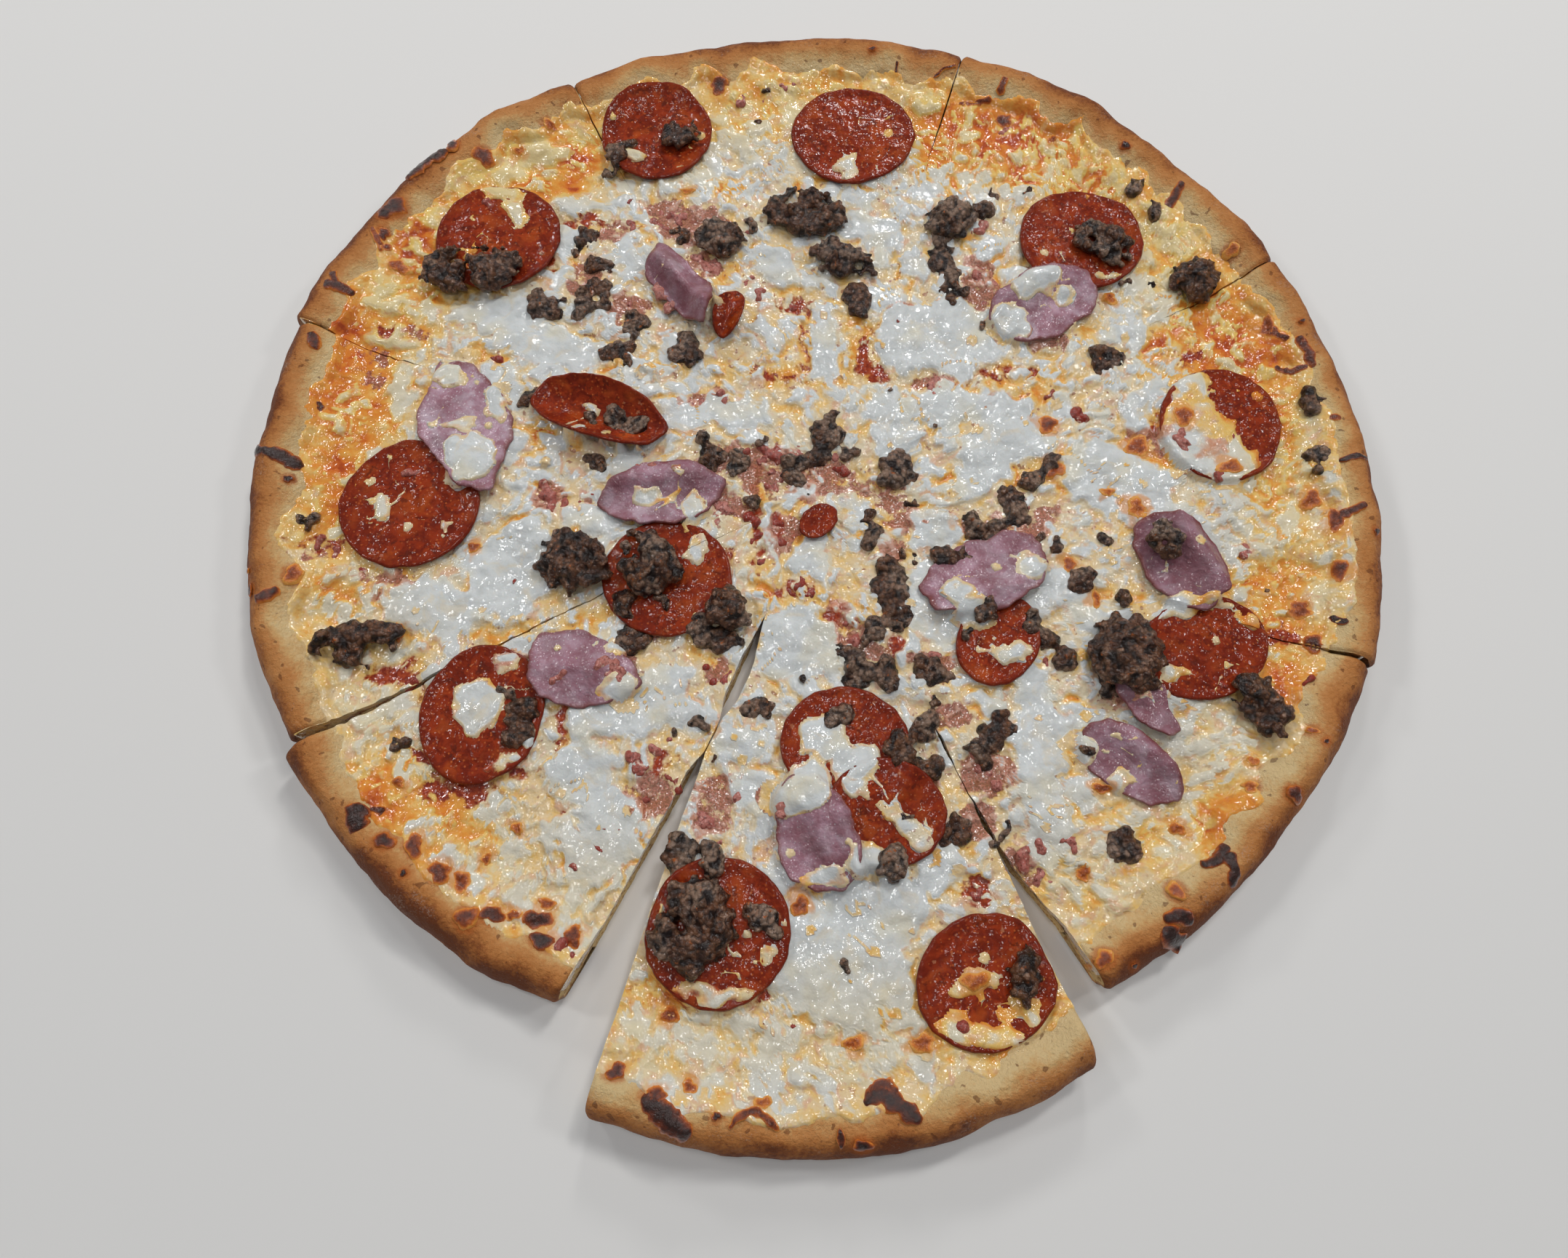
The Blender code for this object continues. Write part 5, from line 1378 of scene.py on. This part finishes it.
def blister_patch(x, y, length, width, turn, burn, seed):
    """A dome that sits on the surface: its places, faces, height and how burnt it is."""
    n = BLISTER_SPOKES
    spin = math.radians(turn)
    places = [(x, y)]
    outs = [0.0]
    draw = random.Random(seed)
    phases = [draw.uniform(0, math.tau) for _ in range(3)]
    for out in BLISTER_RINGS[1:]:
        for k in range(n):
            angle = math.tau * k / n
            ragged = 1 + 0.18 * math.sin(2 * angle + phases[0]) + 0.14 * math.sin(3 * angle + phases[1])
            ragged += 0.09 * math.sin(5 * angle + phases[2])
            along, aside = 0.5 * length * math.cos(angle), 0.5 * width * math.sin(angle)
            places.append(turned(x, y, along * out * ragged, aside * out * ragged, spin))
            outs.append(out)
    faces = [(0, 1 + k, 1 + (k + 1) % n) for k in range(n)]
    for r in range(len(BLISTER_RINGS) - 2):
        faces += belt(1 + r * n, 1 + (r + 1) * n, n)
    return np.array(places), np.array(outs), faces, min(0.5, 0.11 * min(length, width)), burn


def drip_patch(route, width, burn, seed):
    """A run of browned cheese along a route of (x, y) places, given in the same way."""
    line = np.array(route, float)
    lengths = np.concatenate([[0], np.cumsum(np.linalg.norm(np.diff(line, axis=0), axis=1))])
    count = max(6, int(lengths[-1] / 0.6))
    at = np.linspace(0, lengths[-1], count)
    centre = np.column_stack([np.interp(at, lengths, line[:, 0]), np.interp(at, lengths, line[:, 1])])
    for _ in range(3):
        centre[1:-1] = (centre[:-2] + 2 * centre[1:-1] + centre[2:]) / 4
    tangent = np.gradient(centre, axis=0)
    tangent /= np.linalg.norm(tangent, axis=1)[:, None]
    normal = np.column_stack([-tangent[:, 1], tangent[:, 0]])
    share = np.linspace(0, 1, count)
    wave = noises(at, np.full(count, float(seed)), (1.0, 4.0, seed), (0.6, 1.7, seed + 1))
    half = 0.5 * width * (1 + 0.40 * wave) * np.sqrt(np.clip(1 - (2 * share - 1) ** 6, 0.05, 1))
    asides = np.array(DRIP_ASIDES)
    places = centre[:, None, :] + normal[:, None, :] * (asides[None, :, None] * half[:, None, None])
    places = places.reshape(-1, 2)
    ends = np.abs(2 * share - 1) ** 8 * 1.1
    outs = np.maximum(np.abs(asides)[None, :], ends[:, None]).ravel()
    n = len(asides)
    faces = []
    for r in range(count - 1):
        a, b = r * n, (r + 1) * n
        faces += [(a + k, b + k, b + k + 1, a + k + 1) for k in range(n - 1)]
    x, y = places.T
    bend = [gradient_noise(x, y, 1.8, seed + 2), gradient_noise(x, y, 1.8, seed + 3)]
    return places + 0.30 * np.column_stack(bend), outs, faces, min(0.42, 0.13 * width), burn


def browned_cheese(look):
    """All the blisters and drips, as one piece that lies on whatever is under it."""
    patches = [blister_patch(*blister, 300 + k) for k, blister in enumerate(BLISTERS)]
    patches += [drip_patch(*drip, 500 + k) for k, drip in enumerate(DRIPS)]
    places, outs, faces, rises, burns = [], [], [], [], []
    start = 0
    for patch_places, patch_outs, patch_faces, rise, burn in patches:
        count = len(patch_places)
        places.append(patch_places)
        outs.append(patch_outs)
        rises.append(np.full(count, rise))
        burns.append(np.full(count, burn))
        faces += [tuple(index + start for index in face) for face in patch_faces]
        start += count
    places, outs, rises, burns = (np.concatenate(values) for values in (places, outs, rises, burns))
    x, y = places.T
    dome = np.where(outs < 1, np.sqrt(np.clip(1 - outs ** 2, 0, 1)), 0.0)
    rough = noises(x, y, (0.35, 1.8, 88), (0.15, 0.9, 89))
    height = surface_height(places) + 0.04 + rises * dome + rough * dome - 0.5 * (outs > 1)
    masks = {"out": np.clip(outs, 0, 1), "burn": burns}
    new_piece("browned_cheese", np.column_stack([x, y, height]), faces, look, masks, None)


# Materials

# How far red, green and blue light spread inside a surface, as shares of its reach
SCATTER_REACH = (1.0, 0.7, 0.5)


class Look:
    """A node material, built from the surface's own places and masks."""

    def __init__(self, name):
        self.material = bpy.data.materials.new(name)
        self.material.use_nodes = True
        self.tree = self.material.node_tree
        self.shader = self.tree.nodes["Principled BSDF"]
        self.coords = self.tree.nodes.new("ShaderNodeTexCoord").outputs["Object"]

    def link(self, value, socket):
        """Feeds a socket from a node, a number, or a colour in screen values."""
        if isinstance(value, bpy.types.NodeSocket):
            self.tree.links.new(value, socket)
        elif socket.type == "RGBA":
            socket.default_value = (*linear(value), 1.0)
        else:
            socket.default_value = value

    def noise(self, size, detail=2.0, rough=0.5, distort=0.0):
        node = self.tree.nodes.new("ShaderNodeTexNoise")
        self.tree.links.new(self.coords, node.inputs["Vector"])
        node.inputs["Scale"].default_value = 1.0 / (size * MM)
        node.inputs["Detail"].default_value = detail
        node.inputs["Roughness"].default_value = rough
        node.inputs["Distortion"].default_value = distort
        return node.outputs["Fac"]

    def cells(self, size):
        """Distance to the nearest of scattered points, in units of size."""
        node = self.tree.nodes.new("ShaderNodeTexVoronoi")
        self.tree.links.new(self.coords, node.inputs["Vector"])
        node.inputs["Scale"].default_value = 1.0 / (size * MM)
        return node.outputs["Distance"]

    def mask(self, name):
        """A value that the mesh carries at each place."""
        node = self.tree.nodes.new("ShaderNodeAttribute")
        node.attribute_name = name
        return node.outputs["Fac"]

    def math(self, operation, a, b=0.0, clamp=False):
        node = self.tree.nodes.new("ShaderNodeMath")
        node.operation = operation
        node.use_clamp = clamp
        self.link(a, node.inputs[0])
        self.link(b, node.inputs[1])
        return node.outputs[0]

    def add(self, *terms):
        total = terms[0]
        for term in terms[1:]:
            total = self.math("ADD", total, term)
        return total

    def scaled(self, value, factor, offset=0.0):
        """The value times a factor, plus an offset."""
        return self.math("ADD", self.math("MULTIPLY", value, factor), offset)

    def step(self, value, low, high):
        """0 below low and 1 above high, eased between."""
        node = self.tree.nodes.new("ShaderNodeMapRange")
        node.interpolation_type = "SMOOTHSTEP"
        self.link(value, node.inputs["Value"])
        node.inputs["From Min"].default_value = low
        node.inputs["From Max"].default_value = high
        return node.outputs["Result"]

    def mix(self, amount, first, second):
        node = self.tree.nodes.new("ShaderNodeMix")
        node.data_type = "RGBA"
        self.link(amount, node.inputs["Factor"])
        self.link(first, node.inputs["A"])
        self.link(second, node.inputs["B"])
        return node.outputs["Result"]

    def tint(self, base, colour, amount, share):
        """The base with a share of a colour mixed in where the amount is 1."""
        return self.mix(self.math("MULTIPLY", amount, share), base, colour)

    def blend(self, amount, low, high):
        """A number between two values."""
        return self.scaled(amount, high - low, low)

    def ramp(self, value, stops):
        """A colour for each value from 0 to 1, from (place, colour) stops."""
        node = self.tree.nodes.new("ShaderNodeValToRGB")
        self.link(value, node.inputs["Fac"])
        elements = node.color_ramp.elements
        while len(elements) < len(stops):
            elements.new(0.5)
        for element, (place, colour) in zip(elements, stops):
            element.position = place
            element.color = (*linear(colour), 1.0)
        return node.outputs["Color"]

    def bump(self, height, depth, after=None):
        """Bumps of the given depth in mm for a height from 0 to 1."""
        node = self.tree.nodes.new("ShaderNodeBump")
        node.inputs["Strength"].default_value = 1.0
        node.inputs["Distance"].default_value = depth * MM
        self.link(height, node.inputs["Height"])
        if after is not None:
            self.link(after, node.inputs["Normal"])
        return node.outputs["Normal"]

    def finish(self, colour, roughness, normal, coat, coat_roughness, scatter, reach, specular):
        """Sets the surface: coat is its wetness, scatter how much light spreads within reach mm."""
        inputs = self.shader.inputs
        self.link(colour, inputs["Base Color"])
        self.link(roughness, inputs["Roughness"])
        inputs["Specular IOR Level"].default_value = specular
        self.link(normal, inputs["Normal"])
        self.link(normal, inputs["Coat Normal"])
        self.link(coat, inputs["Coat Weight"])
        inputs["Coat Roughness"].default_value = coat_roughness
        inputs["Subsurface Weight"].default_value = scatter
        inputs["Subsurface Radius"].default_value = SCATTER_REACH
        inputs["Subsurface Scale"].default_value = reach * MM
        return self.material


def cheese_look():
    look = Look("melted_cheese")
    fine = look.noise(1.2, 3.0, 0.6, 0.3)
    mid = look.noise(3.6, 3.0, 0.55, 0.6)
    large = look.noise(12.0, 2.0, 0.5)
    tiny = look.noise(0.55, 2.0)
    milk = look.add(look.mask("milk"), look.scaled(fine, 0.24, -0.12), look.scaled(mid, 0.26, -0.13))
    tone = look.add(look.mask("oil"), look.scaled(mid, 0.85, -0.40), look.scaled(fine, 0.30, -0.15))
    ground = look.ramp(tone, [
        (0.0, (230, 204, 160)), (0.25, (236, 196, 120)), (0.45, (232, 164, 74)),
        (0.66, (226, 140, 52)), (0.86, (210, 106, 38)), (1.0, (180, 76, 30)),
    ])
    meat = look.step(look.add(look.mask("meat"), look.scaled(fine, 1.0, -0.5)), 0.42, 0.72)
    shreds = look.mix(look.step(tiny, 0.4, 0.6), (180, 104, 94), (128, 68, 58))
    ground = look.tint(ground, shreds, meat, 0.85)
    sauce = look.add(look.mask("sauce"), look.scaled(fine, 0.7, -0.35), look.scaled(mid, 0.5, -0.25))
    sauce = look.step(sauce, 0.40, 0.85)
    ground = look.mix(sauce, ground, look.mix(look.step(fine, 0.35, 0.65), (178, 74, 36), (132, 42, 24)))
    film = look.mix(look.step(tone, 0.05, 0.50), (226, 211, 180), (236, 190, 104))
    film = look.tint(film, (234, 204, 112), look.mask("rim"), 0.55)
    film = look.tint(film, (196, 134, 120), meat, 0.75)
    blush = look.step(look.noise(5.0, 2.0, 0.55, 0.6), 0.48, 0.66)
    film = look.tint(film, (218, 148, 118), blush, 0.50)
    white = look.mix(look.step(mid, 0.35, 0.7), (217, 220, 219), (205, 208, 206))
    veil = look.step(look.noise(7.0, 3.0, 0.6, 0.8), 0.54, 0.72)
    white = look.tint(white, (226, 206, 168), veil, 0.40)
    white = look.tint(white, (228, 219, 190), look.step(large, 0.50, 0.70), 0.55)
    white = look.tint(white, (232, 206, 138), look.mask("rim"), 0.85)
    colour = look.mix(look.step(milk, 0.18, 0.42), ground, film)
    inner = look.math("SUBTRACT", 0.7, look.mask("rim"), clamp=True)
    specks = look.step(look.add(look.noise(2.4, 1.0), look.scaled(tiny, 0.2, -0.1)), 0.68, 0.73)
    colour = look.mix(look.math("MULTIPLY", specks, inner), colour, (150, 88, 74))
    colour = look.mix(look.step(milk, 0.48, 0.80), colour, white)
    halo = look.step(look.add(look.mask("burn"), look.scaled(fine, 0.5, -0.25)), 0.15, 0.95)
    colour = look.tint(colour, (220, 146, 62), halo, 0.7)
    roughness = look.blend(look.step(milk, 0.3, 0.7), 0.18, 0.34)
    thin = look.blend(look.step(milk, 0.5, 0.9), 1.0, 0.50)
    normal = look.bump(look.math("MULTIPLY", look.noise(2.6, 2.0, 0.5), thin), 0.60)
    normal = look.bump(look.noise(1.1, 2.0, 0.5), 0.10, normal)
    return look.finish(colour, roughness, normal, 1.0, 0.08, 0.15, 1.5, 0.25)


def browned_look():
    look = Look("browned_cheese")
    fine = look.noise(0.7, 3.0, 0.6)
    mid = look.noise(1.8, 3.0, 0.6)
    out = look.math("POWER", look.mask("out"), 3.0)
    dark = look.math("SUBTRACT", look.mask("burn"), look.scaled(out, 0.62, -0.06))
    dark = look.add(dark, look.scaled(mid, 0.8, -0.40), look.scaled(fine, 0.3, -0.15))
    colour = look.ramp(dark, [
        (0.0, (228, 162, 78)), (0.25, (212, 122, 46)), (0.5, (156, 74, 30)),
        (0.75, (94, 42, 24)), (1.0, (48, 26, 20)),
    ])
    normal = look.bump(mid, 0.50)
    normal = look.bump(fine, 0.22, normal)
    return look.finish(colour, 0.40, normal, 0.7, 0.08, 0.0, 1.0, 0.2)


def bit_look():
    look = Look("meat_bits")
    fine = look.noise(0.9, 3.0, 0.6)
    mid = look.noise(2.4, 3.0, 0.6)
    red = look.add(look.mask("red"), look.scaled(mid, 0.8, -0.4))
    base = look.mix(look.step(red, 0.1, 1.0), (192, 124, 112), (148, 48, 32))
    base = look.mix(look.step(fine, 0.45, 0.7), base, (116, 56, 46))
    base = look.mix(look.step(look.noise(1.6, 2.0), 0.62, 0.72), base, (214, 178, 160))
    normal = look.bump(fine, 0.25)
    return look.finish(base, 0.3, normal, 0.85, 0.07, 0.05, 1.0, 0.2)


def crust_look():
    look = Look("baked_crust")
    mid = look.noise(7.0, 3.0, 0.6)
    fine = look.noise(1.1, 3.0, 0.65)
    tiny = look.noise(0.5, 2.0, 0.6)
    bake = look.add(look.mask("bake"), look.scaled(mid, 0.5, -0.25), look.scaled(fine, 0.50, -0.25))
    colour = look.ramp(bake, [
        (0.0, (216, 188, 138)), (0.22, (208, 166, 110)), (0.45, (196, 136, 80)),
        (0.68, (184, 120, 64)), (0.86, (154, 92, 46)), (1.0, (116, 62, 32)),
    ])
    crumb = look.mix(look.step(look.cells(1.3), 0.2, 0.5), (186, 140, 84), (232, 206, 150))
    colour = look.mix(look.mask("crumb"), colour, crumb)
    dust = look.add(look.mask("flour"), look.scaled(tiny, 1.0, -0.5), look.scaled(mid, 0.8, -0.4))
    dust = look.math("MULTIPLY", look.step(dust, 0.42, 0.80), 0.42)
    colour = look.mix(dust, colour, (190, 176, 160))
    specks = look.step(look.add(look.noise(2.3, 0.0), look.scaled(tiny, 0.15)), 0.84, 0.87)
    colour = look.tint(colour, (96, 48, 24), specks, 0.6)
    halo = look.step(look.add(look.mask("burn"), look.scaled(fine, 0.6, -0.3)), 0.2, 0.9)
    colour = look.tint(colour, (178, 96, 40), halo, 0.7)
    roughness = look.blend(look.mask("wet"), 0.62, 0.34)
    normal = look.bump(look.noise(3.2, 3.0, 0.6), 0.50)
    normal = look.bump(look.noise(0.9, 3.0, 0.7), 0.60, normal)
    coat = look.math("MULTIPLY", look.mask("wet"), 0.5)
    return look.finish(colour, roughness, normal, coat, 0.12, 0.05, 1.0, 0.2)


def pepperoni_look():
    look = Look("pepperoni")
    large = look.noise(7.0, 2.0, 0.5, 0.5)
    mid = look.noise(3.2, 3.0, 0.6, 0.8)
    fine = look.noise(0.9, 3.0, 0.6)
    base = look.mix(look.step(mid, 0.35, 0.65), (160, 56, 20), (112, 32, 13))
    base = look.tint(base, (190, 86, 30), look.step(large, 0.5, 0.7), 0.6)
    brown = look.step(look.noise(3.0, 3.0, 0.65, 0.5), 0.56, 0.66)
    base = look.tint(base, (78, 30, 18), brown, 0.7)
    base = look.mix(look.step(look.cells(1.4), 0.28, 0.14), base, (188, 92, 44))
    fat = look.step(look.noise(1.6, 2.0), 0.66, 0.71)
    base = look.tint(base, (206, 138, 100), fat, 0.6)
    base = look.tint(base, (116, 36, 22), look.mask("dark"), 0.5)
    colour = look.tint(base, (112, 32, 14), look.mask("edge"), 0.6)
    normal = look.bump(look.noise(3.4, 2.0, 0.5), 0.75)
    normal = look.bump(look.noise(1.3, 2.0, 0.5), 0.14, normal)
    return look.finish(colour, look.blend(fine, 0.25, 0.45), normal, 0.42, 0.05, 0.06, 1.0, 0.08)


def ham_look():
    look = Look("ham")
    mid = look.noise(3.5, 3.0, 0.6)
    fine = look.noise(0.9, 3.0, 0.6)
    base = look.mix(look.step(mid, 0.35, 0.65), (192, 158, 172), (168, 122, 136))
    pale = look.step(look.noise(8.0, 3.0, 0.6, 0.5), 0.50, 0.66)
    base = look.tint(base, (204, 190, 200), pale, 0.55)
    base = look.mix(look.step(look.cells(1.1), 0.24, 0.12), base, (216, 204, 210))
    base = look.mix(look.step(fine, 0.60, 0.75), base, (208, 180, 188))
    base = look.tint(base, (118, 66, 72), look.mask("dark"), 0.75)
    colour = look.tint(base, (120, 52, 38), look.mask("edge"), 0.7)
    normal = look.bump(look.noise(2.2, 2.0, 0.5), 0.50)
    normal = look.bump(look.noise(1.0, 2.0, 0.5), 0.15, normal)
    return look.finish(colour, look.blend(fine, 0.25, 0.42), normal, 0.6, 0.07, 0.15, 1.5, 0.15)


def minced_look():
    look = Look("browned_mince")
    fine = look.noise(0.8, 3.0, 0.65)
    mid = look.noise(2.6, 3.0, 0.6)
    grain_and_shade = look.cells(1.3)
    base = look.mix(look.step(mid, 0.35, 0.65), (68, 40, 27), (112, 74, 50))
    # Grey patches: the colour of fat, and partly a painted sheen of light on it.
    grey = look.step(look.add(look.mask("fat_and_sheen"), look.scaled(mid, 0.7, -0.35)), 0.50, 0.80)
    base = look.tint(base, (146, 122, 104), grey, 0.75)
    base = look.mix(look.step(look.noise(2.1, 2.0), 0.58, 0.66), base, (140, 108, 88))
    base = look.mix(look.step(look.noise(1.7, 2.0), 0.66, 0.72), base, (168, 92, 46))
    # Painted shade: darker in the gaps between the grains, where the bump below sinks.
    base = look.tint(base, (40, 24, 18), look.step(grain_and_shade, 0.45, 0.75), 0.7)
    # Painted shade: near-black where the meat lies deep in its crevices.
    colour = look.mix(look.step(look.mask("cleft_shade"), 0.42, 0.80), base, (28, 17, 13))
    normal = look.bump(look.math("SUBTRACT", 1.0, grain_and_shade), 0.55)
    normal = look.bump(fine, 0.35, normal)
    return look.finish(colour, look.blend(fine, 0.25, 0.5), normal, 0.75, 0.06, 0.0, 1.0, 0.15)


# The camera and the light

CAMERA_AT = (-2.671, -122.941, 285.042)
CAMERA_RIGHT = (0.99968121, 0.02481284, -0.00466878)
CAMERA_UP = (-0.02244451, 0.95803473, 0.28577211)
CAMERA_AHEAD = (-0.01156367, 0.28557622, -0.95828623)
LENS = 23.80
SENSOR = 36.0

FLOOR_HALF = 3.0
FLOOR_COLOUR = (0.80, 0.79, 0.77, 1.0)
SKY_COLOUR = (0.90, 0.93, 1.0, 1.0)
SKY_STRENGTH = 0.13
# Soft light: name, place in metres, size, watts and colour. Wet surfaces don't mirror it.
SOFT_LIGHTS = [
    ("key", (0.80, 1.25, 1.75), 0.28, 10.8, (1.0, 0.99, 0.97)),
    ("fill", (-0.9, -0.7, 1.5), 0.80, 1.3, (0.95, 0.97, 1.0)),
]
# Small white lights that wet surfaces mirror as glints: name, place, size and watts
GLINTS = [
    ("glints_north", (0.15, 1.25, 0.75), 0.17, 2.9),
    ("glints_north_west", (-0.75, 0.95, 0.80), 0.15, 2.0),
    ("glints_middle", (0.30, 0.62, 1.15), 0.13, 1.5),
    ("glints_east", (0.95, 0.30, 0.90), 0.15, 1.8),
    ("glints_west", (-0.90, 0.25, 0.90), 0.15, 1.8),
    ("glints_top", (-0.05, 0.10, 1.30), 0.14, 1.6),
    ("glints_south", (0.10, -0.55, 1.20), 0.12, 1.1),
]


def add_camera():
    data = bpy.data.cameras.new("camera")
    data.lens = LENS
    data.sensor_width = SENSOR
    data.clip_start = 0.01
    camera = bpy.data.objects.new("camera", data)
    axes = Matrix((CAMERA_RIGHT, CAMERA_UP, [-a for a in CAMERA_AHEAD])).transposed()
    camera.matrix_world = axes.to_4x4()
    camera.location = [(a + b) * MM for a, b in zip(CAMERA_AT, (*CUTS_CROSS_AT, 0.0))]
    bpy.context.scene.collection.objects.link(camera)
    bpy.context.scene.camera = camera


def add_light(name, place, size, watts, colour=(1.0, 1.0, 1.0), glints=True):
    """A square light aimed at the pizza; without glints it shines but isn't seen in wet surfaces."""
    data = bpy.data.lights.new(name, "AREA")
    data.shape = "RECTANGLE"
    data.size = data.size_y = size
    data.energy = watts
    data.color = colour
    light = bpy.data.objects.new(name, data)
    light.location = place
    light.visible_glossy = glints
    light.rotation_euler = (-Vector(place)).to_track_quat("-Z", "Y").to_euler()
    bpy.context.scene.collection.objects.link(light)


def add_stage():
    """A plain pale floor, a dim sky and the lights."""
    mesh = bpy.data.meshes.new("floor")
    corners = [(-1, -1), (1, -1), (1, 1), (-1, 1)]
    mesh.from_pydata([(FLOOR_HALF * x, FLOOR_HALF * y, 0) for x, y in corners], [], [(0, 1, 2, 3)])
    floor = bpy.data.objects.new("floor", mesh)
    material = bpy.data.materials.new("floor")
    material.use_nodes = True
    shader = material.node_tree.nodes["Principled BSDF"]
    shader.inputs["Base Color"].default_value = FLOOR_COLOUR
    shader.inputs["Roughness"].default_value = 0.8
    mesh.materials.append(material)
    bpy.context.scene.collection.objects.link(floor)
    world = bpy.data.worlds.new("studio")
    world.use_nodes = True
    sky = world.node_tree.nodes["Background"]
    sky.inputs["Color"].default_value = SKY_COLOUR
    sky.inputs["Strength"].default_value = SKY_STRENGTH
    bpy.context.scene.world = world
    bpy.context.scene.view_settings.view_transform = "Standard"
    for light in SOFT_LIGHTS:
        add_light(*light, glints=False)
    for light in GLINTS:
        add_light(*light)


def main():
    clear_startup()
    cheese = cheese_look()
    crust = crust_look()
    for piece in SLICES:
        crust_piece(piece, crust)
        cheese_piece(piece, cheese)
    pepperoni = pepperoni_look()
    ham = ham_look()
    for k, node in enumerate(FLAT_TOPPINGS):
        if node.startswith("pepperoni"):
            sheet_piece(node, 96, 0.9, pepperoni, pepperoni_detail(200 + 10 * k), 0.012)
        else:
            detail = ham_detail(400 + 10 * k, HAM_DEPTH.get(node, 0.0))
            sheet_piece(node, 120, 0.7, ham, detail, 0.05)
    minced = minced_look()
    for node in TOPPINGS:
        if node.startswith("crumble"):
            crumble_piece(node, minced)
    small_crumbles(minced)
    meat_bits(bit_look())
    browned_cheese(browned_look())
    add_stage()
    add_camera()


main()
